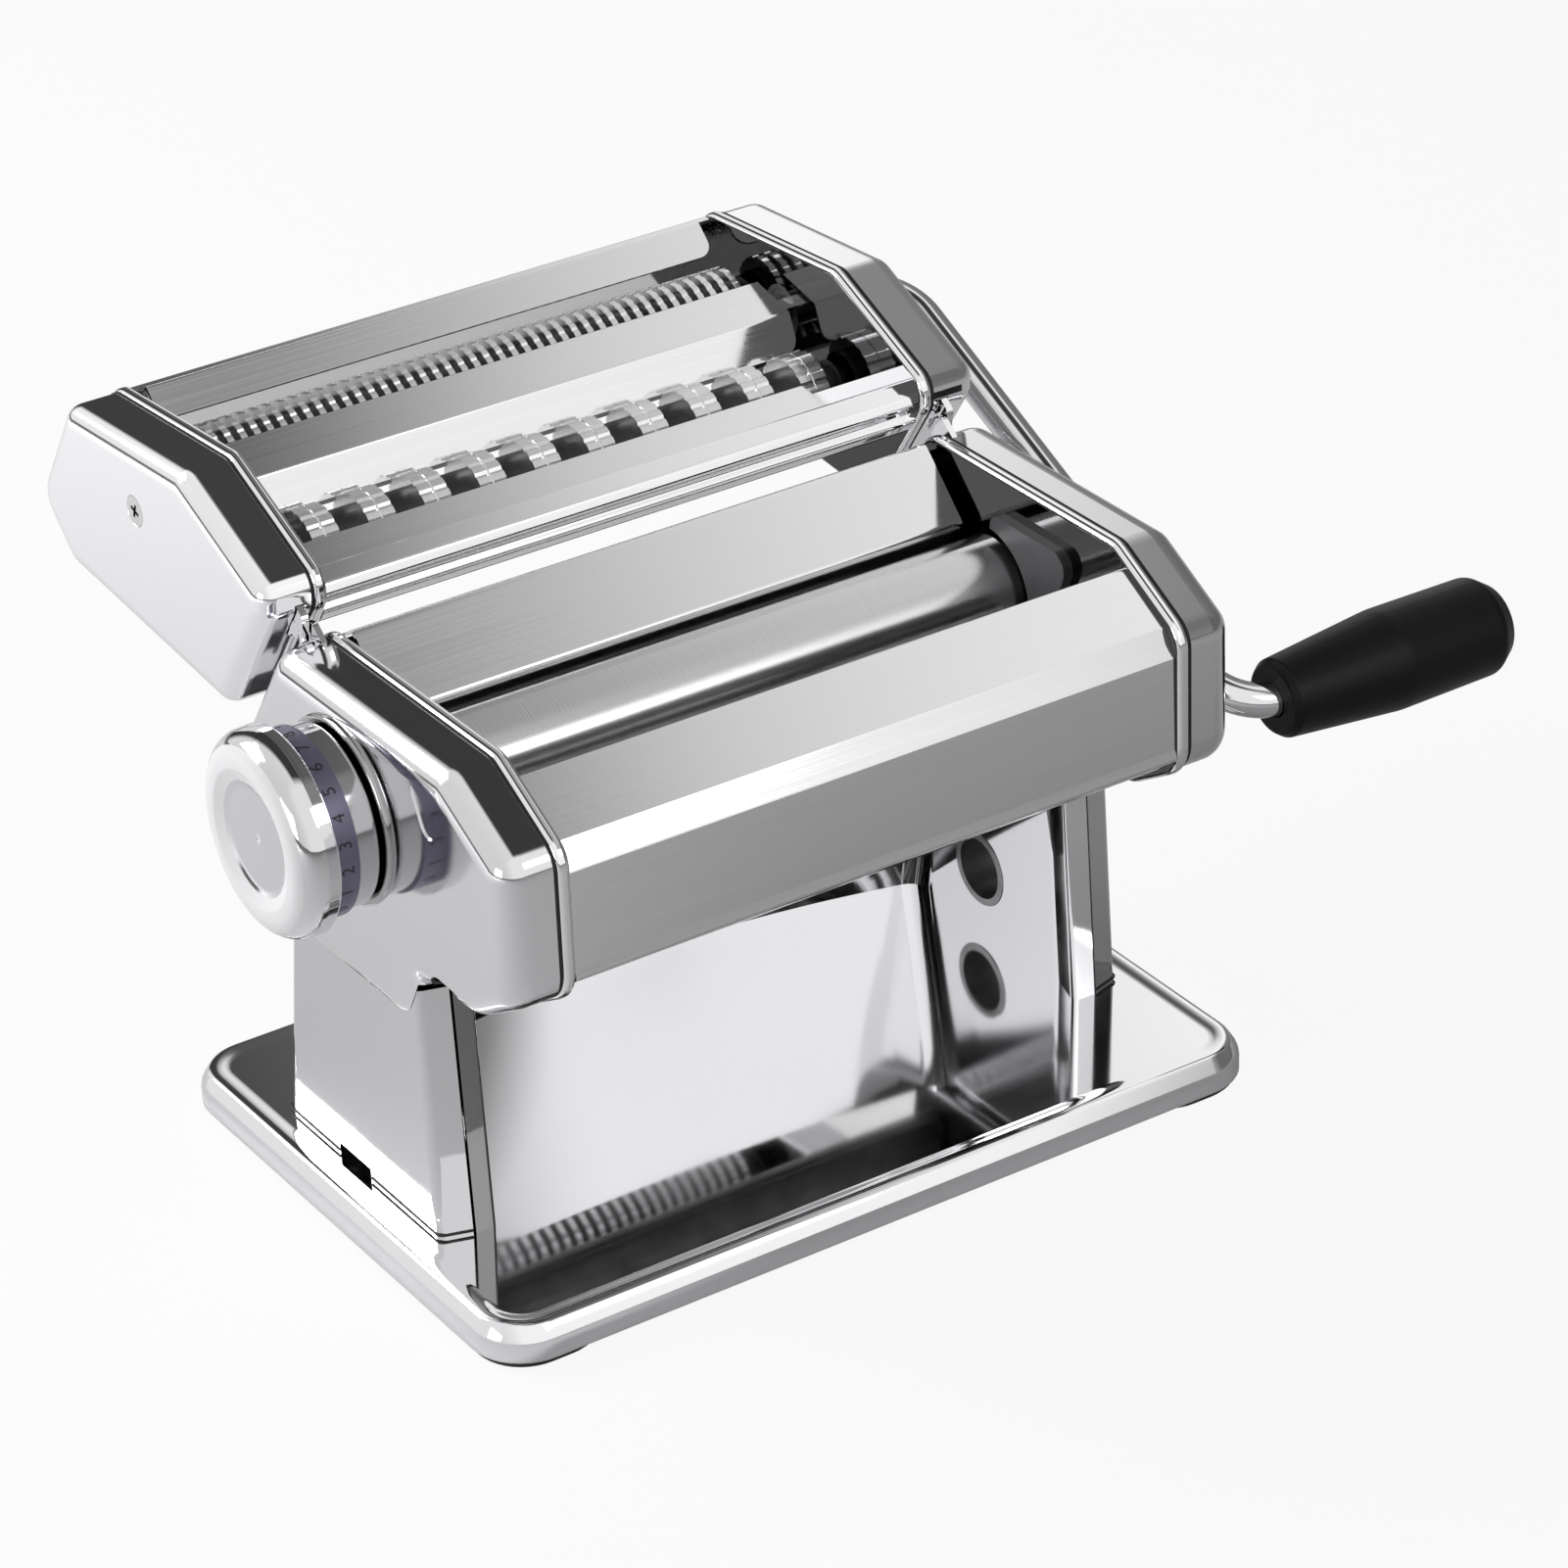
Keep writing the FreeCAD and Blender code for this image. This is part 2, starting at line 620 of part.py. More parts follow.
def bearing_block():
    bores = [rod(FRONT_ROLLER, JOURNAL_RADIUS + 0.05, 70, 90), rod(CARRIAGE_BAR, 3, 70, 90)]
    return block_blank().cut(bores)


def cam_centre():
    """At rest the cam stands square to the closing direction, so that turning it moves the block."""
    return along(FRONT_ROLLER, (CLOSING[1], -CLOSING[0]), CAM_THROW)


def left_bearing_block():
    """Carries the slotted plate that the cam on the adjuster shaft works in."""
    plate = rod(FRONT_ROLLER, 12.5, -84.2, -79.6)
    across = (CLOSING[1], -CLOSING[0])
    track = slot(FRONT_ROLLER, across, CAM_THROW, CAM_THROW + 0.6, CAM_RADIUS + 0.5, -85, -79.6)
    return mirrored(bearing_block()).fuse(plate.cut(track))


def carriage_bar():
    return rod(CARRIAGE_BAR, 3, -79.6, 79.6)


def adjustable_scraper():
    """Blade under the carriage bar that frees the sheet from the front roller."""
    y, z = CARRIAGE_BAR
    path = [(y - 4, z - 3, 0), (y + 3, z - 3, 4), (y + 8.0, z - 1.2, 0)]
    return bent_sheet(path, -0.6, 74.0)


# ---- adjuster shaft and dial ----------------------------------------------------------------

def adjuster_shaft():
    """Runs through the hollow front roller; the cam near its left end moves the roller."""
    shaft = rod(FRONT_ROLLER, SHAFT_RADIUS, -103, 84.6)
    parts = [rod(FRONT_ROLLER, 3, 84.6, 87.4), rod(FRONT_ROLLER, 10, -104.6, -103),
             rod(cam_centre(), CAM_RADIUS, -83.6, -80.2)]
    return shaft.fuse(parts)


def dial_boss():
    """Raised seat on the left casing with the arc-shaped track of the stop pin."""
    seat = rod(FRONT_ROLLER, DIAL_BOSS_RADIUS, DIAL_BOSS_FACE, -CASING_OUTER)
    seat = seat.makeFillet(1.0, end_edges(seat, DIAL_BOSS_FACE))
    spigot = rod(FRONT_ROLLER, DIAL_SPIGOT_RADIUS, -CASING_OUTER, -CASING_OUTER + 2)
    pilot = rod(FRONT_ROLLER, 7.0, -CASING_OUTER + 2, -84.9)
    track = ring(FRONT_ROLLER, PIN_TRACK + 1.6, PIN_TRACK - 1.6, DIAL_BOSS_FACE - 1, DIAL_BOSS_FACE + 2.2)
    bore = rod(FRONT_ROLLER, SHAFT_RADIUS + 0.05, -95, -80)
    return seat.fuse([spigot, pilot]).cut([track, bore])


def dial_knob():
    """Dished cap with a rounded rim on a hollow barrel."""
    cap = [(CAP_BACK, 0, 0), (CAP_BACK, CAP_RADIUS, 0.6), (CAP_FACE, CAP_RADIUS, 6),
           (CAP_FACE, 15.5, 1.5), (CAP_FACE + 1.6, 11.5, 2.5), (CAP_FACE + 1.9, 0, 0)]
    barrel = rod(FRONT_ROLLER, 19.0, CAP_BACK, COLLAR_BACK - 0.4)
    cavity = rod(FRONT_ROLLER, 16.5, CAP_BACK - 1.2, -96.4)
    bore = rod(FRONT_ROLLER, SHAFT_RADIUS + 0.05, -100, -90)
    return turned(FRONT_ROLLER, cap).fuse(barrel).cut([cavity, bore])


def number_ring():
    return ring(FRONT_ROLLER, RING_RADIUS, 19.0, CAP_BACK, RING_BACK)


def dial_collar():
    outline = [(RING_BACK, 19.0, 0), (RING_BACK, COLLAR_RADIUS, 0), (COLLAR_BACK, COLLAR_RADIUS, 1.2),
               (COLLAR_BACK, 10, 0), (COLLAR_BACK - 0.4, 10, 0), (COLLAR_BACK - 0.4, 19.0, 0)]
    return turned(FRONT_ROLLER, outline)


def dial_spring():
    """Flat-wire spring that pulls the dial against its seat."""
    y, z = FRONT_ROLLER
    helix = Part.makeHelix(1.6, 5.9, 8.2)
    helix.rotate(Vector(0, 0, 0), Vector(0, 1, 0), 90)
    helix.translate(Vector(-102.65, y, z))
    start = helix.Edges[0].Vertexes[0].Point
    outward = unit(start - Vector(start.x, y, z))
    half = [(-0.3, -0.7), (0.3, -0.7), (0.3, 0.7), (-0.3, 0.7)]
    corners = [start + X_AXIS * a + outward * b for a, b in half]
    section = Part.makePolygon(corners + [corners[0]])
    return Part.Wire(helix.Edges).makePipeShell([section], True, True)


def dial_pin():
    place = along(FRONT_ROLLER, (0, 1), PIN_TRACK)
    return rod(place, 1.2, COLLAR_BACK - 2.6, DIAL_BOSS_FACE + 1.8)


# ---- cutter hung on the back of the head ----------------------------------------------------

def hanger_outline():
    return [(14, 118, 0), (10, 124, 0), (22.5, 134.2, 2), (30.2, 131.6, 2.5)]


def hanger_slot():
    outline = offset_path(hanger_outline(), 0.3, closed=True)
    return side_slab(outline, HANGER_PLANE[0] - 0.3, HANGER_PLANE[1] + 0.3)


def cutter_hanger():
    """Tab that stands out of the head casing, with a stud for the cutter's hook."""
    inside = side_slab(hanger_outline(), *HANGER_PLANE)
    foot = box((FRAME_INNER + FRAME_SHEET, HANGER_PLANE[0]), (11.5, 16), (117.5, 123.5))
    stud = rod(HANGER, 1.9, HANGER_PLANE[1], HOOK_PLANE[1] + 0.1)
    return inside.fuse([foot.common(side_slab(hanger_outline(), 76, 80)), stud])


def hook_outline():
    return [(23.6, 129.0, 1), (22.6, 135.5, 2), (36, 146, 0), (42, 141, 0), (30.6, 129.0, 1)]


def hook_slot():
    outline = offset_path(hook_outline(), 0.3, closed=True)
    return side_slab(outline, HOOK_PLANE[0] - 0.3, HOOK_PLANE[1] + 0.3)


def cutter_hook():
    """Plate on the cutter frame, notched from below so that the cutter lifts straight off."""
    plate = side_slab(hook_outline(), *HOOK_PLANE)
    y, z = HANGER
    notch = box((80, 84), (y - 1.95, y + 1.95), (z - 5, z)).fuse(rod(HANGER, 1.95, 80, 84))
    foot = box((FRAME_INNER + FRAME_SHEET, HOOK_PLANE[0]), (35, 39.5), (139.5, 143))
    return plate.cut(notch).fuse(foot)


def sheet_corner(outline, start, end):
    """A block that trims the lower corner of an upright sheet; its outline is seen from the front."""
    face = Part.Face(rounded_wire(outline, lambda x, z: Vector(x, start, z)))
    return face.extrude(Vector(0, end - start, 0))


def cutter_back_plate():
    """Upright guide behind the fine rollers, folded over at the top to close the back."""
    path = [(108.6, 144.1, 0), (108.6, 153.6, 1.2), (112, 153.3, 3), (127.6, 129.2, 0)]
    sheet = bent_sheet(path, -0.8, FRAME_INNER)
    outline = [(74.4, 151.6, 0), (72.3, 143.6, 3.5), (69, 143.6, 0), (69, 143, 0),
               (77, 143, 0), (77, 151.6, 0)]
    corner = sheet_corner(outline, 107, 109)
    return sheet.cut([corner, mirrored(corner)])


def cutter_middle_plate():
    """Ridge between the two openings, with a guide behind the wide rollers and lugs to the frames."""
    path = [(71.5, 133.7, 0), (71.5, 144.6, 1.2), (84.4, 147.4, 0)]
    sheet = bent_sheet(path, -0.8, 72.0)
    outline = [(70.7, 143.2, 0), (70.7, 138, 2), (67.2, 133.6, 0), (67.2, 133, 0),
               (77, 133, 0), (77, 143.2, 0)]
    corner = sheet_corner(outline, 70, 75)
    lugs = bent_sheet([(73.77, 144.28, 0), (77.57, 145.1, 0)], -0.8, FRAME_INNER)
    lugs = lugs.cut(box((-67, 67), (70, 90), (140, 150)))
    return sheet.cut([corner, mirrored(corner)]).fuse(lugs)


def cutter_front_plate():
    """Guide in front of the wide rollers, down to the ridged bar; its lip is cut back on the right."""
    path = [(48.2, 138.3, 0), (47.4, 138.9, 0.4), (33.4, 137.6, 3), (33.4, 132, 0)]
    sheet = bent_sheet(path[::-1], -0.8, FRAME_INNER)
    return sheet.cut(box((59, 77), (43, 50), (135, 142)))


def cutter_front_bar():
    """Folded bar with three rounded ridges across the front of the cutter."""
    path = [(35.2, 139.0, 0), (31.8, 141.2, 2.2), (27.2, 139.6, 1.8), (26.4, 136.6, 1.4),
            (28.0, 135.2, 1.0), (26.6, 133.2, 1.4), (28.6, 130.4, 2), (33.0, 129.6, 0)]
    return bent_sheet(path[::-1], -0.8, FRAME_INNER)


def cutter_tie_rod():
    """Runs under the ridge from the left casing to the bearing of the drive gear."""
    shaft = rod(DRIVE, 4.0, -CASING_OUTER + CASING_SHEET + 0.6, 74.6)
    return shaft.cut([rod(DRIVE, 1.8, -90, -66), screw_cone(3.6)])


def ring_centres(pitch, shift):
    """Places of the rings along a roller; its partner's rings stand half a pitch away."""
    count = int(2 * RING_ZONE / pitch)
    first = -(count - 1) * pitch / 2 + shift * pitch
    places = [first + i * pitch for i in range(count)]
    return [place for place in places if abs(place) < RING_ZONE - pitch / 4]


def cutter_roller(centre, pitch, shift, sides, gear_end):
    """Core with square-edged rings and a journal at each end."""
    core = polygon_rod(centre, CORE_RADIUS, sides, -RING_ZONE - 1.5, RING_ZONE + 1.5)
    half = pitch / 4 - RING_PLAY / 2
    rings = [polygon_rod(centre, RING_RADIUS_BIG, sides, x - half, x + half)
             for x in ring_centres(pitch, shift)]
    journals = [rod(centre, CUTTER_JOURNAL, -79.6, -RING_ZONE - 1.5),
                rod(centre, CUTTER_JOURNAL, RING_ZONE + 1.5, gear_end)]
    return core.fuse(rings + journals)


def stripping_comb(front, rear, pitch):
    """Bar below a pair of rollers with a finger in every groove of each of them."""
    middle = ((front[0] + rear[0]) / 2, (front[1] + rear[1]) / 2)
    across = direction_between(front, rear)
    down = (across[1], -across[0])

    def corner(sideways, depth):
        return (*along(along(middle, across, sideways), down, depth), 0)

    bar = [corner(-2.4, 11.2), corner(2.4, 11.2), corner(2.4, 14.2), corner(-2.4, 14.2)]
    thickness = pitch * 0.3
    fingers = []
    for side, shift in ((-1, -0.25), (1, 0.25)):
        finger = [corner(side * 2.4, 11.4), corner(side * -0.6, 11.4), corner(side * 2.6, 5.4),
                  corner(side * 3.8, 5.9)]
        fingers += [side_slab(finger, x - thickness / 2, x + thickness / 2)
                    for x in ring_centres(pitch, shift)]
    return side_slab(bar, -FRAME_INNER, FRAME_INNER).fuse(fingers)


def cutter_bushes():
    bushes = [ring(place, 5.5, CUTTER_JOURNAL + 0.05, FRAME_INNER, FRAME_INNER + FRAME_SHEET + 1)
              for place in (FINE_FRONT, FINE_REAR, WIDE_FRONT, WIDE_REAR)]
    drive = ring(DRIVE, 6.5, 5.05, FRAME_INNER, FRAME_INNER + FRAME_SHEET + 1)
    return Part.Compound([pair(bush) for bush in bushes] + [drive])


def cutter_drive_gear(phase):
    """Wide gear whose hub is the crank socket."""
    teeth = cutter_gear(DRIVE, CUTTER_TEETH, phase, (FINE_GEAR_SPAN[0], WIDE_GEAR_SPAN[1]), 6.0)
    hub = rod(DRIVE, 5.0, FRAME_INNER + 0.1, FINE_GEAR_SPAN[0])
    hub = hub.fuse(rod(DRIVE, 6.2, FINE_GEAR_SPAN[0], CASING_OUTER - 0.3))
    return hub.fuse(teeth).cut(socket_bore(DRIVE))


# ---- crank ----------------------------------------------------------------------------------

def crank_rod():
    """Round rod bent twice; its tip is flattened to a tang and its far end turns in the grip."""
    bends = [Vector(ROD_TIP, *DRIVE), Vector(CRANK_PLANE, *DRIVE),
             Vector(CRANK_PLANE, *GRIP_AXIS), Vector(GRIP_END - 8, *GRIP_AXIS)]
    first = corner_stops(bends[0], bends[1], bends[2], CRANK_BEND)
    second = corner_stops(bends[1], bends[2], bends[3], CRANK_BEND)
    path = Part.Wire([Part.makeLine(bends[0], first[0]), Part.Arc(*first).toShape(),
                      Part.makeLine(first[2], second[0]), Part.Arc(*second).toShape(),
                      Part.makeLine(second[2], bends[3])])
    section = Part.Wire(Part.makeCircle(ROD_RADIUS, bends[0], X_AXIS))
    shape = path.makePipeShell([section], True, False)
    flats = rod(DRIVE, ROD_RADIUS + 1, ROD_TIP - 1, TANG_END).cut(tang_block(DRIVE, ROD_TIP - 2, 0))
    return shape.cut(flats)


def crank_grip():
    """Black grip, slim near the arm and full towards its rounded end, hollow along the rod."""
    outline = [(GRIP_START, BORE_RADIUS, 0), (GRIP_START, 8.0, 0.5), (GRIP_START + 1.6, 9.2, 1),
               (GRIP_START + 31, 11.9, 20), (GRIP_END - 4.5, 11.6, 3), (GRIP_END, 8.6, 1.5),
               (GRIP_END, 0, 0), (GRIP_END - 7, 0, 0), (GRIP_END - 7, 7.2, 0),
               (GRIP_END - 13, 7.2, 0), (GRIP_END - 13, BORE_RADIUS, 0)]
    return turned(GRIP_AXIS, outline)


def grip_retaining_ring():
    return ring(GRIP_AXIS, 6.4, ROD_RADIUS, GRIP_END - 11.5, GRIP_END - 9.8)


# ---- assembly -------------------------------------------------------------------------------

def fine_phase():
    return meshing_phase(0, CUTTER_TEETH, DRIVE, FINE_FRONT, CUTTER_TEETH)


def gear_nodes():
    """Every gear's teeth are turned so that they stand in the gaps of the gear before."""
    idler = meshing_phase(0, CUTTER_TEETH, DRIVE, IDLER, IDLER_TEETH)
    rear = meshing_phase(idler, IDLER_TEETH, IDLER, WIDE_REAR, CUTTER_TEETH)
    front = meshing_phase(rear, CUTTER_TEETH, WIDE_REAR, WIDE_FRONT, CUTTER_TEETH)
    fine_rear = meshing_phase(fine_phase(), CUTTER_TEETH, FINE_FRONT, FINE_REAR, CUTTER_TEETH)
    partner = meshing_phase(0, ROLLER_TEETH, FIXED_ROLLER, FRONT_ROLLER, ROLLER_TEETH)
    return {
        "cutter_drive_gear": cutter_drive_gear(0),
        "idler_gear": cutter_gear(IDLER, IDLER_TEETH, idler, WIDE_GEAR_SPAN, 2.55),
        "fine_front_gear": cutter_gear(FINE_FRONT, CUTTER_TEETH, fine_phase(), FINE_GEAR_SPAN,
                                       CUTTER_JOURNAL),
        "fine_rear_gear": cutter_gear(FINE_REAR, CUTTER_TEETH, fine_rear, FINE_GEAR_SPAN,
                                      CUTTER_JOURNAL),
        "wide_rear_gear": cutter_gear(WIDE_REAR, CUTTER_TEETH, rear, WIDE_GEAR_SPAN, CUTTER_JOURNAL),
        "wide_front_gear": cutter_gear(WIDE_FRONT, CUTTER_TEETH, front, WIDE_GEAR_SPAN,
                                       CUTTER_JOURNAL),
        "roller_drive_gear": roller_gear(FIXED_ROLLER, 0, 6.2),
        "adjustable_roller_gear": roller_gear(FRONT_ROLLER, partner, JOURNAL_RADIUS),
    }


def roller_nodes():
    fine_end = FINE_GEAR_SPAN[1]
    wide_end = WIDE_GEAR_SPAN[1]
    return {
        "fine_cutter_front": cutter_roller(FINE_FRONT, FINE_PITCH, 0.25, FINE_SIDES, fine_end),
        "fine_cutter_rear": cutter_roller(FINE_REAR, FINE_PITCH, -0.25, FINE_SIDES, fine_end),
        "wide_cutter_front": cutter_roller(WIDE_FRONT, WIDE_PITCH, 0.25, WIDE_SIDES, wide_end),
        "wide_cutter_rear": cutter_roller(WIDE_REAR, WIDE_PITCH, -0.25, WIDE_SIDES, wide_end),
        "fixed_roller": fixed_roller(),
        "fixed_roller_journals": fixed_roller_journals(),
        "adjustable_roller": adjustable_roller(),
        "adjustable_roller_journals": adjustable_roller_journals(),
    }


def stand_nodes():
    return {
        "base_plate": base_plate(),
        "rubber_feet": rubber_feet(),
        "stand_inner_shell": stand_inner_shell(),
        "stand_right_skin": stand_skin(),
        "stand_left_skin": mirrored(stand_skin()),
        "leg_anchor_blocks": leg_anchor_blocks(),
        "clamp_socket": clamp_socket(),
    }


def head_nodes():
    return {
        "head_right_frame": head_frame(),
        "head_left_frame": mirrored(head_frame()),
        "head_right_casing": head_right_casing(),
        "head_left_casing": head_left_casing(),
        "front_panel": front_panel(),
        "rear_guide_plate": rear_guide_plate(),
        "rear_panel": rear_panel(),
        "end_guides": end_guides(),
        "tie_rods": tie_rods(),
        "frame_screws": frame_screws(),
        "fixed_scraper": fixed_scraper(),
        "roller_bushes": roller_bushes(),
        "bearing_blocks": Part.Compound([bearing_block(), left_bearing_block()]),
        "carriage_bar": carriage_bar(),
        "adjustable_scraper": adjustable_scraper(),
    }


def dial_nodes():
    return {
        "adjuster_shaft": adjuster_shaft(),
        "dial_boss": dial_boss(),
        "dial_knob": dial_knob().cut(dial_pin()),
        "number_ring": number_ring(),
        "dial_collar": dial_collar().cut(dial_pin()),
        "dial_spring": dial_spring(),
        "dial_pin": dial_pin(),
    }


def cutter_nodes():
    return {
        "cutter_right_frame": cutter_right_frame(),
        "cutter_left_frame": cutter_left_frame(),
        "cutter_right_casing": cutter_right_casing(),
        "cutter_left_casing": cutter_left_casing(),
        "cutter_end_screw": cutter_end_screw(),
        "cutter_back_plate": cutter_back_plate(),
        "cutter_middle_plate": cutter_middle_plate(),
        "cutter_front_plate": cutter_front_plate(),
        "cutter_front_bar": cutter_front_bar(),
        "cutter_tie_rod": cutter_tie_rod(),
        "cutter_combs": Part.Compound([stripping_comb(FINE_FRONT, FINE_REAR, FINE_PITCH),
                                       stripping_comb(WIDE_FRONT, WIDE_REAR, WIDE_PITCH)]),
        "cutter_bushes": cutter_bushes(),
    }


def crank_nodes():
    return {
        "crank_rod": crank_rod(),
        "crank_grip": crank_grip(),
        "grip_retaining_ring": grip_retaining_ring(),
    }


os.makedirs("parts", exist_ok=True)
for nodes in (stand_nodes(), head_nodes(), dial_nodes(), cutter_nodes(), roller_nodes(),
              gear_nodes(), crank_nodes()):
    for name, shape in nodes.items():
        shape.exportStep("parts/" + name + ".step")
        print(name, len(shape.Solids), round(shape.Volume), shape.isValid())
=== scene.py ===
import math

import bmesh
import bpy
from mathutils import Matrix, Vector


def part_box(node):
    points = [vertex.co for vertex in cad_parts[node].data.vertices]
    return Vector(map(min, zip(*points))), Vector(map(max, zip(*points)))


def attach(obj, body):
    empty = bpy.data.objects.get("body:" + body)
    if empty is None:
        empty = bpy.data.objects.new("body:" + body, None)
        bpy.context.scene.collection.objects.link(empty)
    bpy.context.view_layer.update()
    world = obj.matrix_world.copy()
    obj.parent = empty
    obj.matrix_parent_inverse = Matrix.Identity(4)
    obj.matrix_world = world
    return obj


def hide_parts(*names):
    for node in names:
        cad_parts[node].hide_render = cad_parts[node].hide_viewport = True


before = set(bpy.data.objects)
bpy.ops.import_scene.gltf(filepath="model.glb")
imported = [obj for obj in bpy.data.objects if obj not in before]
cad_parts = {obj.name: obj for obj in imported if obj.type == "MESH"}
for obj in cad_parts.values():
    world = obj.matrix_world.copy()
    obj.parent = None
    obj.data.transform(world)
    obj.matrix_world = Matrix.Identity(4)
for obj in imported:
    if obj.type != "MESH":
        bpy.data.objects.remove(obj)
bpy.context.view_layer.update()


# ---- Studio -----------------------------------------------------------------------------------
# A white table in a plain room, with a soft main lamp behind on the left and two weak ones, on the
# left and in front. Chrome shows the room: pale walls with a dark band between them.

MM = 0.001
scene = bpy.context.scene
VIEW_AZIMUTH = math.radians(-32.49)
VIEW_ELEVATION = math.radians(29.18)
VIEW_ROLL = math.radians(-2.28)
AIM = Vector((0, -70, 106)) * MM
CAMERA_BESIDE_AIM = Vector((-20.831, 3.052, 1190.775)) * MM
LENS = 132.76
SENSOR = 36.0
TABLE_SIZE = 8.0
TABLE_WHITE = (0.86, 0.86, 0.87, 1)
TABLE_GLOW = 0.92
TABLE_GLOW_IN_MIRRORS = 0.05
FILL_LIGHT = 0.14
MACHINE_MIDDLE = Vector((0.02, 0.01, 0.08))


def node(tree, kind, inputs=None, **settings):
    """Adds a shader or geometry node; each input is a value or another node's output."""
    made = tree.nodes.new(kind)
    for name, value in settings.items():
        setattr(made, name, value)
    for socket, value in (inputs or {}).items():
        if isinstance(value, bpy.types.NodeSocket):
            tree.links.new(value, made.inputs[socket])
        else:
            made.inputs[socket].default_value = value
    return made


def ramp(tree, factor, stops):
    """A colour ramp of grey tones (position, tone)."""
    made = node(tree, "ShaderNodeValToRGB", {"Fac": factor})
    while len(made.color_ramp.elements) < len(stops):
        made.color_ramp.elements.new(1)
    for element, (position, tone) in zip(made.color_ramp.elements, stops):
        element.position = position
        element.color = (tone, tone, tone, 1)
    return made.outputs["Color"]


def own_light(tree, direct, mirrored):
    """How much a surface glows for rays from the eye and for rays from a mirror; 0 for all others."""
    path = node(tree, "ShaderNodeLightPath").outputs
    bounced = node(tree, "ShaderNodeMath", {0: path["Is Glossy Ray"], 1: path["Is Transmission Ray"]},
                   operation="MAXIMUM").outputs[0]
    shiny = node(tree, "ShaderNodeMath", {0: bounced, 1: mirrored}, operation="MULTIPLY").outputs[0]
    return node(tree, "ShaderNodeMath", {0: path["Is Camera Ray"], 1: direct, 2: shiny},
                operation="MULTIPLY_ADD").outputs[0]


scene.view_settings.view_transform = "Standard"
camera = bpy.data.objects.new("camera", bpy.data.cameras.new("camera"))
scene.collection.objects.link(camera)
scene.camera = camera
camera.data.lens = LENS
camera.data.sensor_width = SENSOR
camera.data.clip_end = 20
turned_to_view = (Matrix.Rotation(VIEW_AZIMUTH, 4, "Z")
                  @ Matrix.Rotation(math.pi / 2 - VIEW_ELEVATION, 4, "X")
                  @ Matrix.Rotation(VIEW_ROLL, 4, "Z"))
camera.matrix_world = Matrix.Translation(AIM) @ turned_to_view @ Matrix.Translation(CAMERA_BESIDE_AIM)

room = bpy.data.worlds.new("room")
scene.world = room
room.use_nodes = True
air = room.node_tree
air.nodes.clear()
looking = node(air, "ShaderNodeTexCoord").outputs["Generated"]
towards = node(air, "ShaderNodeSeparateXYZ", {0: looking}).outputs
sideways = node(air, "ShaderNodeMapRange", {"Value": towards["X"], "From Min": -1.0}).outputs["Result"]
far_side = ramp(air, sideways, [(0.0, 0.8), (0.42, 0.9), (0.50, 0.05), (0.68, 0.05), (0.705, 0.15), (0.73, 0.75),
                                (0.76, 1.0), (0.79, 1.0), (0.83, 0.25), (1.0, 0.15)])
slanting = ramp(air, sideways, [(0.0, 0.7), (0.25, 1.0), (0.65, 1.0), (0.69, 0.3), (0.705, 0.25), (0.73, 0.7),
                                (0.757, 1.0), (0.772, 0.85), (0.80, 0.3), (0.86, 0.15), (1.0, 0.15)])
near_side = ramp(air, sideways, [(0.0, 0.7), (0.25, 1.0), (0.757, 1.0), (0.80, 0.35), (0.86, 0.2), (1.0, 0.2)])


def mixed(tree, factor, first, second):
    """The first colour where factor is 0 and the second where it is 1."""
    return node(tree, "ShaderNodeMix", {"Factor": factor, 6: first, 7: second}, data_type="RGBA").outputs[2]


def seen_towards_viewer(start, end):
    """0 for directions away from the viewer's side of the room, 1 for those well towards it."""
    return node(air, "ShaderNodeMapRange", {"Value": towards["Y"], "From Min": start,
                                            "From Max": end}).outputs["Result"]


above = mixed(air, seen_towards_viewer(-0.2, -0.35), far_side, slanting)
wall_tone = mixed(air, seen_towards_viewer(-0.62, -0.73), above, near_side)
walls = node(air, "ShaderNodeBackground", {"Color": wall_tone, "Strength": 1.0})
filling = node(air, "ShaderNodeBackground", {"Color": (1, 1, 1, 1), "Strength": FILL_LIGHT})
backdrop = node(air, "ShaderNodeBackground", {"Color": (1, 1, 1, 1), "Strength": 1.0})
path = node(air, "ShaderNodeLightPath").outputs
unseen = node(air, "ShaderNodeMixShader", {0: path["Is Glossy Ray"], 1: filling.outputs[0], 2: walls.outputs[0]})
seen = node(air, "ShaderNodeMixShader", {0: path["Is Camera Ray"], 1: unseen.outputs[0], 2: backdrop.outputs[0]})
node(air, "ShaderNodeOutputWorld", {"Surface": seen.outputs[0]})

table = bpy.data.objects.new("table", bpy.data.meshes.new("table"))
scene.collection.objects.link(table)
top = bmesh.new()
bmesh.ops.create_grid(top, x_segments=1, y_segments=1, size=TABLE_SIZE / 2)
top.to_mesh(table.data)
top.free()
paper = bpy.data.materials.new("white_table")
paper.use_nodes = True
sheet = paper.node_tree
sheet.nodes.clear()
lit = node(sheet, "ShaderNodeBsdfDiffuse", {"Color": TABLE_WHITE})
bright = node(sheet, "ShaderNodeEmission", {"Color": (1, 1, 1, 1), "Strength": 1.0})
share = own_light(sheet, TABLE_GLOW, TABLE_GLOW_IN_MIRRORS)
top_look = node(sheet, "ShaderNodeMixShader", {0: share, 1: lit.outputs[0], 2: bright.outputs[0]})
node(sheet, "ShaderNodeOutputMaterial", {"Surface": top_look.outputs[0]})
table.data.materials.append(paper)


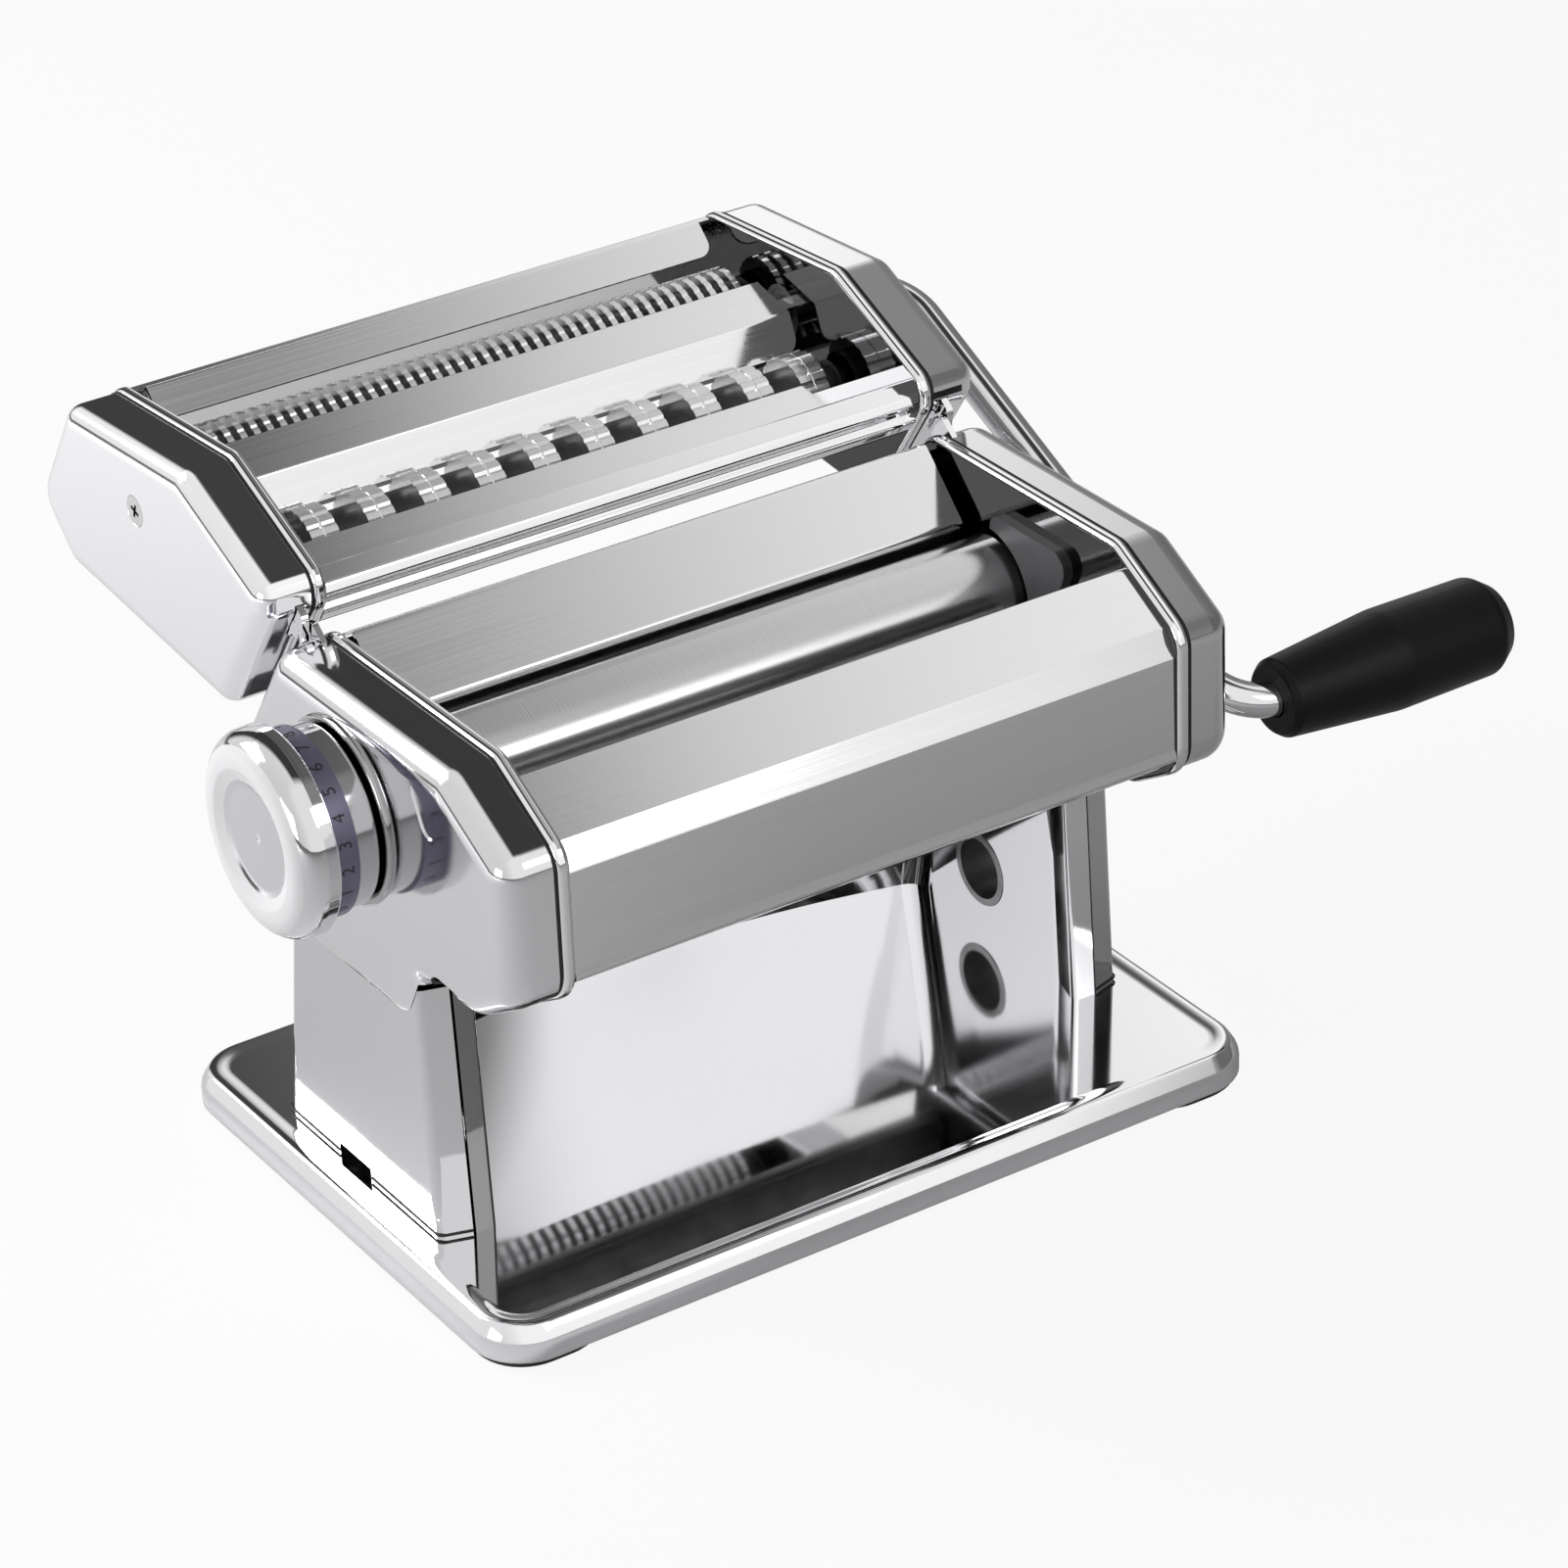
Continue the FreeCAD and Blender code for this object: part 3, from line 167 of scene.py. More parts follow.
def soft_lamp(name, place, width, height, watts):
    """A rectangular lamp that faces the machine."""
    lamp = bpy.data.lights.new(name, "AREA")
    lamp.shape = "RECTANGLE"
    lamp.size = width
    lamp.size_y = height
    lamp.energy = watts
    holder = bpy.data.objects.new(name, lamp)
    scene.collection.objects.link(holder)
    place = Vector(place)
    facing = (MACHINE_MIDDLE - place).to_track_quat("-Z", "Y")
    holder.matrix_world = Matrix.Translation(place) @ facing.to_matrix().to_4x4()


soft_lamp("main_lamp", (-0.6, 0.7, 0.6), 0.5, 0.5, 8)
soft_lamp("left_lamp", (-1.0, -0.1, 0.25), 0.4, 0.3, 3)
soft_lamp("front_lamp", (0.4, -1.2, 0.9), 0.5, 0.5, 2)


# ---- Base tray --------------------------------------------------------------------------------
# A shallow tray pressed from sheet steel, chromed to a mirror. Its flat top is never quite flat:
# the press leaves slow waves, and wiping leaves a faint haze.

def effect(name, inputs, outputs):
    """An empty node group with its sockets; returns its tree and its input and output nodes."""
    tree = bpy.data.node_groups.new(name, "ShaderNodeTree")
    for socket, value in inputs.items():
        kind = "NodeSocketVector" if isinstance(value, tuple) else "NodeSocketFloat"
        tree.interface.new_socket(socket, in_out="INPUT", socket_type=kind).default_value = value
    for socket in outputs:
        tree.interface.new_socket(socket, in_out="OUTPUT", socket_type="NodeSocketFloat")
    return tree, tree.nodes.new("NodeGroupInput"), tree.nodes.new("NodeGroupOutput")


wiped_haze, given, out = effect("wiped_haze", {"Roughness": 0.1, "Patch Size": 30.0, "Haze": 0.05},
                                ["Roughness", "Film"])
surface = node(wiped_haze, "ShaderNodeTexCoord").outputs["Object"]
patches = node(wiped_haze, "ShaderNodeTexNoise",
               {"Vector": surface, "Scale": given.outputs["Patch Size"], "Detail": 4.0, "Roughness": 0.6})
film = node(wiped_haze, "ShaderNodeMapRange", {"Value": patches.outputs["Fac"], "From Min": 0.35,
                                               "From Max": 0.75}).outputs["Result"]
added = node(wiped_haze, "ShaderNodeMath", {0: film, 1: given.outputs["Haze"], 2: given.outputs["Roughness"]},
             operation="MULTIPLY_ADD")
wiped_haze.links.new(added.outputs[0], out.inputs["Roughness"])
wiped_haze.links.new(film, out.inputs["Film"])

press_waves, given, out = effect("press_waves", {"Wave Scale": 14.0}, ["Height"])
surface = node(press_waves, "ShaderNodeTexCoord").outputs["Object"]
waves = node(press_waves, "ShaderNodeTexNoise",
             {"Vector": surface, "Scale": given.outputs["Wave Scale"], "Detail": 1.0, "Roughness": 0.3})
press_waves.links.new(waves.outputs["Fac"], out.inputs["Height"])


def finish(name, colour, metallic, roughness, **sockets):
    """A material with its Principled shader, and the values that are the same all over it."""
    look = bpy.data.materials.new(name)
    look.use_nodes = True
    shader = look.node_tree.nodes["Principled BSDF"]
    shader.inputs["Base Color"].default_value = (*colour, 1)
    shader.inputs["Metallic"].default_value = metallic
    shader.inputs["Roughness"].default_value = roughness
    for socket, value in sockets.items():
        shader.inputs[socket.replace("_", " ")].default_value = value
    return look, look.node_tree, shader


def placed(tree, group, **values):
    """The group as a node of this material, with its own values."""
    return node(tree, "ShaderNodeGroup", {k.replace("_", " "): v for k, v in values.items()},
                node_tree=group).outputs


def tinted(tree, shader, factor, first, second):
    """The surface's colour goes from the first to the second with factor."""
    tree.links.new(mixed(tree, factor, (*first, 1), (*second, 1)), shader.inputs["Base Color"])


def place_along_x(tree):
    """Where this point of the surface is across the machine."""
    place = node(tree, "ShaderNodeTexCoord").outputs["Object"]
    return node(tree, "ShaderNodeSeparateXYZ", {0: place}).outputs["X"]


def raised(tree, shader, height, depth):
    """Relief of a given depth, too fine to be modelled."""
    bump = node(tree, "ShaderNodeBump", {"Height": height, "Strength": 1.0, "Distance": depth})
    tree.links.new(bump.outputs["Normal"], shader.inputs["Normal"])


def mirror_chrome(name, tone, gloss, haze, wave_depth, wave_scale=14.0, crown=0.0):
    """Chrome plate over pressed sheet; with a crown, it falls away a little towards its outer edge."""
    look, tree, shader = finish(name, (tone, tone, tone * 1.015), 1.0, gloss)
    dulled = placed(tree, wiped_haze, Roughness=gloss, Patch_Size=22.0, Haze=haze)
    tree.links.new(dulled["Roughness"], shader.inputs["Roughness"])
    height = placed(tree, press_waves, Wave_Scale=wave_scale)["Height"]
    if crown:
        outwards = node(tree, "ShaderNodeMath", {0: place_along_x(tree)}, operation="ABSOLUTE").outputs[0]
        fall = node(tree, "ShaderNodeMath", {0: outwards, 1: -crown}, operation="MULTIPLY").outputs[0]
        height = node(tree, "ShaderNodeMath", {0: height, 1: wave_depth, 2: fall},
                      operation="MULTIPLY_ADD").outputs[0]
    raised(tree, shader, height, 1.0 if crown else wave_depth)
    return look, tree, shader


CORNER_STEPS = 10


def rounded_outline(half_length, half_depth, corner):
    """A rectangle with rounded corners, round the origin."""
    points = []
    for quarter, (right, back) in enumerate(((1, 1), (-1, 1), (-1, -1), (1, -1))):
        for step in range(CORNER_STEPS + 1):
            angle = (quarter + step / CORNER_STEPS) * math.pi / 2
            points.append((right * (half_length - corner) + corner * math.cos(angle),
                           back * (half_depth - corner) + corner * math.sin(angle)))
    return points


def add_stack(work, middle, half_length, half_depth, corner, levels):
    """A closed body of rounded outlines, one for each (inset, height) level, in millimetres."""
    loops = []
    for inset, height in levels:
        outline = rounded_outline(half_length - inset, half_depth - inset, corner - inset)
        loops.append([work.verts.new(Vector((middle[0] + x, middle[1] + y, height)) * MM) for x, y in outline])
    for below, above in zip(loops, loops[1:]):
        for i, start in enumerate(below):
            after = (i + 1) % len(below)
            work.faces.new((start, below[after], above[after], above[i])).smooth = True
    work.faces.new(loops[0][::-1])
    work.faces.new(loops[-1])


def ready_piece(name, mesh, body, slot, *stands_for):
    """The mesh as a piece that rides on its body."""
    piece = bpy.data.objects.new(name, mesh)
    scene.collection.objects.link(piece)
    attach(piece, body)
    if stands_for:
        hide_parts(*stands_for)


SHARP_EDGE = math.radians(40)


def finished_piece(name, work, look, body, slot, *stands_for):
    """The piece from its bmesh, dressed."""
    bmesh.ops.recalc_face_normals(work, faces=work.faces)
    mesh = bpy.data.meshes.new(name)
    work.to_mesh(mesh)
    work.free()
    mesh.set_sharp_from_angle(angle=SHARP_EDGE)
    mesh.materials.append(look)
    ready_piece(name, mesh, body, slot, *stands_for)


def dress(look, *names):
    """Gives CAD nodes their finish."""
    for name in names:
        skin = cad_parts[name].data.materials
        skin.clear()
        skin.append(look)


TRAY_HALF_LENGTH = 98.8
TRAY_HALF_DEPTH = 69.9
TRAY_CORNER = 13.0
TRAY_LIP = 2.0
TRAY_TOP = 10.0
TRAY_SHEET = 1.0
RIM_ROLL = 4.0
RIM_EDGE = 1.6
RIM_BEVEL = 2.2
RIM_RISE = 0.3
BEVEL_TURN = 32
EDGE_TURNS = (BEVEL_TURN, 46, 60, 75, 90)


def round_step(radius, turn):
    """How far a rounding has gone in and up when its face has turned so many degrees from upright."""
    return radius * (1 - math.cos(math.radians(turn))), radius * math.sin(math.radians(turn))


roll_in, roll_up = round_step(RIM_ROLL, BEVEL_TURN)
edge_in, edge_up = round_step(RIM_EDGE, BEVEL_TURN)
bevel_in = roll_in + RIM_BEVEL * math.sin(math.radians(BEVEL_TURN))
bevel_up = roll_up + RIM_BEVEL * math.cos(math.radians(BEVEL_TURN))
side_top = TRAY_TOP + RIM_RISE - bevel_up - (RIM_EDGE - edge_up)
rim = [(0, side_top - 0.3)]
for turn in range(0, BEVEL_TURN + 1, 8):
    rim.append((round_step(RIM_ROLL, turn)[0], side_top + round_step(RIM_ROLL, turn)[1]))
for turn in EDGE_TURNS:
    rim.append((bevel_in + round_step(RIM_EDGE, turn)[0] - edge_in, side_top + bevel_up
                + round_step(RIM_EDGE, turn)[1] - edge_up))
hollow = [(5.0, TRAY_TOP - TRAY_SHEET), (2.2, 8.2), (TRAY_SHEET, 6.0), (TRAY_SHEET, TRAY_LIP)]
lip = [(0.25, TRAY_LIP - 0.1), (0, TRAY_LIP + 0.3)]
step_down = [(4.0, TRAY_TOP + RIM_RISE), (5.5, TRAY_TOP + 0.12), (6.6, TRAY_TOP), (7.0, TRAY_TOP)]
tray = bmesh.new()
add_stack(tray, (0, 0), TRAY_HALF_LENGTH, TRAY_HALF_DEPTH, TRAY_CORNER, hollow + lip + rim + step_down)
finished_piece("pressed_tray", tray, mirror_chrome("base_chrome", 0.88, 0.035, 0.05, 0.25 * MM, 9.0)[0],
               "base", "polished_chrome", "base_plate")


# ---- Feet -------------------------------------------------------------------------------------
# Four soft rubber pads under the corners of the tray, moulded with a fine sandy skin.

sandy_skin, given, out = effect("sandy_skin", {"Grain Scale": 900.0}, ["Height", "Shade"])
surface = node(sandy_skin, "ShaderNodeTexCoord").outputs["Object"]
grains = node(sandy_skin, "ShaderNodeTexNoise",
              {"Vector": surface, "Scale": given.outputs["Grain Scale"], "Detail": 3.0, "Roughness": 0.7})
clouds = node(sandy_skin, "ShaderNodeTexNoise", {"Vector": surface, "Scale": 60.0, "Detail": 2.0})
sandy_skin.links.new(grains.outputs["Fac"], out.inputs["Height"])
sandy_skin.links.new(clouds.outputs["Fac"], out.inputs["Shade"])


def moulded(name, dark, light, roughness, grain, depth, metallic=0.0, **sockets):
    """Rubber or plastic whose colour drifts a little and whose skin has the grain of its mould."""
    look, tree, shader = finish(name, dark, metallic, roughness, **sockets)
    skin = placed(tree, sandy_skin, Grain_Scale=grain)
    tinted(tree, shader, skin["Shade"], dark, light)
    raised(tree, shader, skin["Height"], depth)
    return look


PAD_HALF = 14.0
PAD_BESIDE_EDGE = 1.3
PAD_CORNER = 11.5
PAD_LEVELS = [(0.5, 0), (0, 0.5), (0, TRAY_LIP), (3.0, TRAY_LIP + 1), (3.0, TRAY_TOP - TRAY_SHEET)]
pads = bmesh.new()
for right in (-1, 1):
    for back in (-1, 1):
        middle = (right * (TRAY_HALF_LENGTH - PAD_BESIDE_EDGE - PAD_HALF),
                  back * (TRAY_HALF_DEPTH - PAD_BESIDE_EDGE - PAD_HALF))
        add_stack(pads, middle, PAD_HALF, PAD_HALF, PAD_CORNER, PAD_LEVELS)
finished_piece("foot_pads", pads, moulded("foot_rubber", (0.012, 0.012, 0.013), (0.03, 0.03, 0.032), 0.72, 700.0,
                                          0.05 * MM), "base", "rubber", "rubber_feet")


# ---- Stand ------------------------------------------------------------------------------------
# The two legs and the bowed back are one folded chromed sheet; the outer skins of the legs are
# two more. Steel blocks between the walls take the screws that come up through the tray.

BESIDE_BEND = 0.25


def rounded_path(path, steps=8):
    """Points of a folded line from its (across, up, bend radius) corners, with one just beside each bend's ends."""
    points = [Vector(path[0][:2])]
    for before, corner, after in zip(path, path[1:], path[2:]):
        here = Vector(corner[:2])
        radius = corner[2]
        back = (Vector(before[:2]) - here).normalized()
        onward = (Vector(after[:2]) - here).normalized()
        half_open = back.angle(onward) / 2
        reach = radius / math.tan(half_open)
        middle = here + (back + onward).normalized() * radius / math.sin(half_open)
        first = here + back * reach - middle
        last = here + onward * reach - middle
        points.append(here + back * (reach + BESIDE_BEND))
        points += [middle + first.slerp(last, step / steps) * radius for step in range(steps + 1)]
        points.append(here + onward * (reach + BESIDE_BEND))
    points.append(Vector(path[-1][:2]))
    return points


def way_at(points, i):
    """Which way the line runs at one of its points."""
    return (points[min(i + 1, len(points) - 1)] - points[max(i - 1, 0)]).normalized()


def less(name, bodies, looks=()):
    """The mesh of the first body with the second cut out of it; walls of the cut keep the second's look."""
    solids = []
    for i, body in enumerate(bodies):
        mesh = bpy.data.meshes.new(name)
        body.to_mesh(mesh)
        body.free()
        for look in looks[i:i + 1]:
            mesh.materials.append(look)
        solids.append(bpy.data.objects.new(name, mesh))
        scene.collection.objects.link(solids[-1])
    cutting = solids[0].modifiers.new("cut", "BOOLEAN")
    cutting.operation = "DIFFERENCE"
    cutting.solver = "EXACT"
    cutting.use_self = bool(looks)
    cutting.material_mode = "TRANSFER" if looks else "INDEX"
    cutting.object = solids[1]
    bpy.context.view_layer.update()
    cut = bpy.data.meshes.new_from_object(solids[0].evaluated_get(bpy.context.evaluated_depsgraph_get()))
    for solid in solids:
        bpy.data.objects.remove(solid)
    return cut


def add_rod(work, middle, radii, length, segments):
    """A rod or cone along X."""
    bmesh.ops.create_cone(work, cap_ends=True, segments=segments, radius1=radii[0], radius2=radii[1], depth=length,
                          matrix=Matrix.Translation(middle) @ Matrix.Rotation(math.pi / 2, 4, "Y"))


SHELL_TOP = 70.0
SHELL_SHEET = 0.8
SHELL_WALL = 78.7
SHELL_BACK = 35.0
BACK_CORNER = 6.0
FRONT_LEAN = 0.05
REAR_LEAN = -0.154
BOW_LOW = 10.0
BOW_HIGH = 2.0
LEVELS = 20
BOW_STEPS = 48
CASING_SIDE = 78.65
UNDER_HEAD = [(-30.5, 74.1), (-23.4, 61.05), (34.3, 61.05)]
CLAMP_HOLE = (10.0, 25.0)
CLAMP_HOLE_RADIUS = 9.2
CLAMP_HOLE_SIDES = 64
PUNCH_LONG = 4.0


def shell_faces(rise, bow):
    """Plan view of the folded sheet at a height above its foot: the inner face and the outer one."""
    front = FRONT_LEAN * rise
    rear = SHELL_BACK + REAR_LEAN * rise
    run = math.hypot(SHELL_WALL, 2 * bow) - 2 * BACK_CORNER
    half = [(81.3, front - 30.6, 0), (75.5, front - 30.2, 1.2), (SHELL_WALL, front - 20, 8),
            (SHELL_WALL, rear, BACK_CORNER)]
    middle = (0, rear + 2 * bow, run * SHELL_WALL / (2 * bow))
    inner = rounded_path(half + [middle] + [(-x, y, radius) for x, y, radius in half[::-1]], BOW_STEPS)
    outwards = [Vector((way_at(inner, i).y, -way_at(inner, i).x)) for i in range(len(inner))]
    return inner, [point + out * SHELL_SHEET for point, out in zip(inner, outwards)]


def cut_height(place):
    """The sheet is cut along the underside of the head, except where it runs up inside the casings."""
    x, y = place
    if abs(x) < CASING_SIDE:
        for (near, start), (far, stop) in zip(UNDER_HEAD, UNDER_HEAD[1:]):
            if near <= y <= far:
                return min(SHELL_TOP, start + (stop - start) * (y - near) / (far - near))
    return SHELL_TOP


shell = bmesh.new()
columns = []
for low_face, high_face in zip(shell_faces(0, BOW_LOW), shell_faces(SHELL_TOP - TRAY_TOP, BOW_HIGH)):
    face_columns = []
    for low, high in zip(low_face, high_face):
        top = cut_height(high)
        heights = [TRAY_TOP + (top - TRAY_TOP) * level / LEVELS for level in range(LEVELS + 1)]
        face_columns.append([shell.verts.new(Vector((*low.lerp(high, (z - TRAY_TOP) / (SHELL_TOP - TRAY_TOP)), z))
                                             * MM) for z in heights])
    columns.append(face_columns)
inner, outer = columns
for i in range(len(inner) - 1):
    for low, high in zip(range(LEVELS), range(1, LEVELS + 1)):
        shell.faces.new((inner[i][low], inner[i][high], inner[i + 1][high], inner[i + 1][low])).smooth = True
        shell.faces.new((outer[i][low], outer[i + 1][low], outer[i + 1][high], outer[i][high])).smooth = True
    for level in (0, LEVELS):
        shell.faces.new((inner[i][level], inner[i + 1][level], outer[i + 1][level], outer[i][level]))
for i in (0, len(inner) - 1):
    for low in range(LEVELS):
        shell.faces.new((inner[i][low], outer[i][low], outer[i][low + 1], inner[i][low + 1]))
bmesh.ops.recalc_face_normals(shell, faces=shell.faces)
punch = bmesh.new()
add_rod(punch, Vector((SHELL_WALL, *CLAMP_HOLE)) * MM, (CLAMP_HOLE_RADIUS * MM, CLAMP_HOLE_RADIUS * MM),
        PUNCH_LONG * MM, CLAMP_HOLE_SIDES)
punched = less("shell", (shell, punch))
shell = bmesh.new()
shell.from_mesh(punched)

# Painted shade: the plate's colour falls off towards the left leg, whose shade lies on it.
SHELL_TONE = (0.90, 0.90, 0.91)
SHADED_TONE = (0.33, 0.33, 0.33)
SHADED_FROM = -76.0 * MM
SHADED_TO = -8.0 * MM
shell_look, shell_tree, shell_shader = mirror_chrome("shell_chrome", 0.90, 0.04, 0.05, 0.1 * MM, 9.0)
clear = node(shell_tree, "ShaderNodeMapRange", {"Value": place_along_x(shell_tree), "From Min": SHADED_FROM,
                                                "From Max": SHADED_TO},
             interpolation_type="SMOOTHSTEP").outputs["Result"]
tinted(shell_tree, shell_shader, clear, SHADED_TONE, SHELL_TONE)
finished_piece("folded_shell", shell, shell_look, "base", "polished_chrome", "stand_inner_shell")
dress(mirror_chrome("skin_chrome", 0.70, 0.04, 0.05, 0.22 * MM, 11.0)[0], "stand_right_skin", "stand_left_skin")


def add_tube(work, rows):
    """A closed body from its four-cornered cross-sections."""
    for row, after in zip(rows, rows[1:]):
        for k in range(4):
            work.faces.new((row[k], row[k - 1], after[k - 1], after[k])).smooth = True
    work.faces.new(rows[0])
    work.faces.new(rows[-1])


# The skins stop short of the tray: a dark gap runs round each leg, open at the notch in its side. The near-black
# strip that draws it is painted shade.
SEAM_LOW = TRAY_TOP + 0.7
SEAM_HIGH = TRAY_TOP + 1.1
SEAM_SUNK = 0.06
SEAM_PROUD = 0.3
LEG_MIDDLE = (78, 4)
ALONG_SHARE = 0.3
SEAM_LINES = (((81.9, -30.4), (88.0, -28.5), (88.8, -27.8), (89.0, -26.6), (89.0, 0.4)),
              ((89.0, 14.1), (89.0, 34.5), (88.3, 36.4), (86.6, 37.3), (80.6, 38.0)))
seams = bmesh.new()
for side in (-1, 1):
    for line in SEAM_LINES:
        rows = []
        for x, y in line:
            away = Vector((x - LEG_MIDDLE[0], (y - LEG_MIDDLE[1]) * ALONG_SHARE)).normalized()
            rows.append([seams.verts.new(Vector((side * (x + away.x * reach), y + away.y * reach, z)) * MM)
                         for reach, z in ((-SEAM_SUNK, SEAM_LOW), (-SEAM_SUNK, SEAM_HIGH), (SEAM_PROUD, SEAM_HIGH),
                                          (SEAM_PROUD, SEAM_LOW))])
        add_tube(seams, rows)
finished_piece("foot_seams", seams, moulded("seam_painted_shade", (0.004, 0.004, 0.004), (0.01, 0.01, 0.01), 0.6, 900.0,
                                            0.01 * MM), "base", "rubber")


# ---- Plain steel ------------------------------------------------------------------------------
# Screws, rods, blades and blocks are drawn or sawn steel with a thin zinc coat, not polished.

def drawn_steel(name, tone, roughness):
    """Steel with a thin, uneven film."""
    look, tree, shader = finish(name, (tone, tone, tone * 1.02), 1.0, roughness)
    dulled = placed(tree, wiped_haze, Roughness=roughness, Patch_Size=160.0, Haze=0.18)
    tree.links.new(dulled["Roughness"], shader.inputs["Roughness"])
    tinted(tree, shader, dulled["Film"], (tone, tone, tone * 1.02), (tone * 0.8, tone * 0.8, tone * 0.78))
    return look


dress(drawn_steel("zinc_steel", 0.62, 0.28), "leg_anchor_blocks", "frame_screws", "adjuster_shaft", "dial_spring",
      "dial_pin", "grip_retaining_ring")
# Painted shade: these parts deep inside the head get a much darker steel tone, for the shade they sit in.
dress(drawn_steel("painted_shade_steel", 0.16, 0.32), "tie_rods", "carriage_bar", "fixed_scraper", "adjustable_scraper",
      "cutter_tie_rod", "fixed_roller_journals", "adjustable_roller_journals")
dress(drawn_steel("gear_steel", 0.42, 0.34), "clamp_socket", "cutter_drive_gear", "idler_gear",
      "fine_front_gear", "fine_rear_gear", "wide_rear_gear", "wide_front_gear", "roller_drive_gear",
      "adjustable_roller_gear")


# ---- Bearings and cheeks ----------------------------------------------------------------------
# Bushes, bearing blocks, stripping combs and end cheeks are moulded in dark grey nylon.

dress(moulded("grey_nylon", (0.05, 0.05, 0.055), (0.08, 0.08, 0.085), 0.45, 500.0, 0.02 * MM),
      "end_guides", "roller_bushes", "bearing_blocks", "cutter_combs", "cutter_bushes")


# ---- Head -------------------------------------------------------------------------------------
# Side frames with a rolled bead and deep-drawn end casings, all mirror chrome. The sheets across
# the head are satin: brushed along their length before they are folded.

# Painted dark reflection: the frames' faces towards the middle of the machine are coloured near black, for the dark
# that the room does not reflect there.
FRAME_INSIDE = 75.6 * MM
FRAME_TONE = (0.88, 0.88, 0.89)
PAINTED_REFLECTION_TONE = (0.07, 0.07, 0.072)
frame_look, frame_tree, frame_shader = mirror_chrome("frame_chrome", 0.88, 0.05, 0.04, 0.05 * MM, 20.0)
from_middle = node(frame_tree, "ShaderNodeMath", {0: place_along_x(frame_tree)}, operation="ABSOLUTE").outputs[0]
painted_reflection_inside = node(frame_tree, "ShaderNodeMath", {0: from_middle, 1: FRAME_INSIDE}, operation="LESS_THAN").outputs[0]
tinted(frame_tree, frame_shader, painted_reflection_inside, FRAME_TONE, PAINTED_REFLECTION_TONE)
dress(frame_look, "head_right_frame", "head_left_frame", "cutter_right_frame", "cutter_left_frame")

dress(mirror_chrome("casing_chrome", 0.76, 0.06, 0.05, 0.15 * MM, 16.0, crown=0.09)[0], "head_right_casing",
      "head_left_casing")
dress(mirror_chrome("boss_chrome", 0.40, 0.06, 0.05, 0.0)[0], "dial_boss")

brushed, given, out = effect("brushed_lines", {"Grain": (8.0, 2600.0, 2600.0)}, ["Line"])
surface = node(brushed, "ShaderNodeTexCoord").outputs["Object"]
stretched = node(brushed, "ShaderNodeVectorMath", {0: surface, 1: given.outputs["Grain"]}, operation="MULTIPLY")
lines = node(brushed, "ShaderNodeTexNoise",
             {"Vector": stretched.outputs[0], "Scale": 1.0, "Detail": 3.0, "Roughness": 0.65})
brushed.links.new(lines.outputs["Fac"], out.inputs["Line"])


def grained(tree, shader, line, roughness, depth):
    """Roughness and height that follow the lines."""
    rough = node(tree, "ShaderNodeMath", {0: line, 1: 0.12, 2: roughness - 0.06}, operation="MULTIPLY_ADD")
    tree.links.new(rough.outputs[0], shader.inputs["Roughness"])
    raised(tree, shader, line, depth)


def satin_sheet(name, tone, roughness):
    """Brushed steel: lines run along X."""
    look, tree, shader = finish(name, (tone, tone, tone), 1.0, roughness)
    line = placed(tree, brushed, Grain=(8.0, 2600.0, 2600.0))["Line"]
    tinted(tree, shader, line, (tone * 0.86, tone * 0.86, tone * 0.86), (tone, tone, tone))
    grained(tree, shader, line, roughness, 0.003 * MM)
    return look


guide_satin = satin_sheet("guide_satin", 0.90, 0.11)
dress(guide_satin, "rear_guide_plate", "rear_panel", "cutter_front_plate")


def add_sheet(work, path, thickness, half_length, end_round=0.0):
    """A folded sheet across the machine; thickness goes to the left of the path's direction."""
    points = rounded_path(path)
    start, first = points[0], points[1]
    run = (first - start).normalized()
    reaches = [end_round * (1 - math.cos(math.radians(turn))) for turn in range(15, 91, 15)] if end_round else []
    points[1:1] = [start + run * reach for reach in reaches]
    rows = []
    travelled = 0.0
    for i, point in enumerate(points):
        travelled += (point - points[i - 1]).length if i else 0.0
        pull = max(end_round - travelled, 0.0)
        half = half_length - (end_round - math.sqrt(max(end_round ** 2 - pull ** 2, 0.0)))
        way = way_at(points, i)
        inner = point + Vector((-way.y, way.x)) * thickness
        rows.append([work.verts.new(Vector((x, place.x, place.y)) * MM)
                     for x, place in ((-half, point), (half, point), (half, inner), (-half, inner))])
    add_tube(work, rows)


HEAD_EDGE = [(-50.5, 77.0, 0), (-69.4, 87.0, 9), (-69.4, 119.2, 6.5), (-46.5, 131.6, 6.5), (22.0, 131.0, 6.5),
             (40.5, 104.0, 8), (34.0, 65.0, 0)]
JOINT_SPAN = (78.5, 79.2)
JOINT_PROUD = 0.22
JOINT_SUNK = 0.3


def add_joint(work, side, edge):
    """The dark gap between a frame's bead and its casing, as a narrow band round the casing's edge."""
    points = rounded_path(edge)
    rows = []
    for i, point in enumerate(points):
        way = way_at(points, i)
        out = Vector((-way.y, way.x))
        rows.append([work.verts.new(Vector((side * x, *(point + out * reach))) * MM)
                     for x, reach in ((JOINT_SPAN[0], -JOINT_SUNK), (JOINT_SPAN[1], -JOINT_SUNK),
                                      (JOINT_SPAN[1], JOINT_PROUD), (JOINT_SPAN[0], JOINT_PROUD))])
    add_tube(work, rows)


# Painted shade: the joint bands are near black, for the shade in the gap between bead and casing.
joint_painted_shade = moulded("joint_painted_shade", (0.004, 0.004, 0.004), (0.009, 0.009, 0.009), 0.6, 900.0, 0.01 * MM)


def joint_lines(name, edge, body):
    """The joint of the left casing and that of the right one, as one piece."""
    joints = bmesh.new()
    for side in (-1, 1):
        add_joint(joints, side, edge)
    finished_piece(name, joints, joint_painted_shade, body, "rubber")


joint_lines("head_casing_joints", HEAD_EDGE, "base")

FRAME_GAP = 75.45
SHEET = 0.8


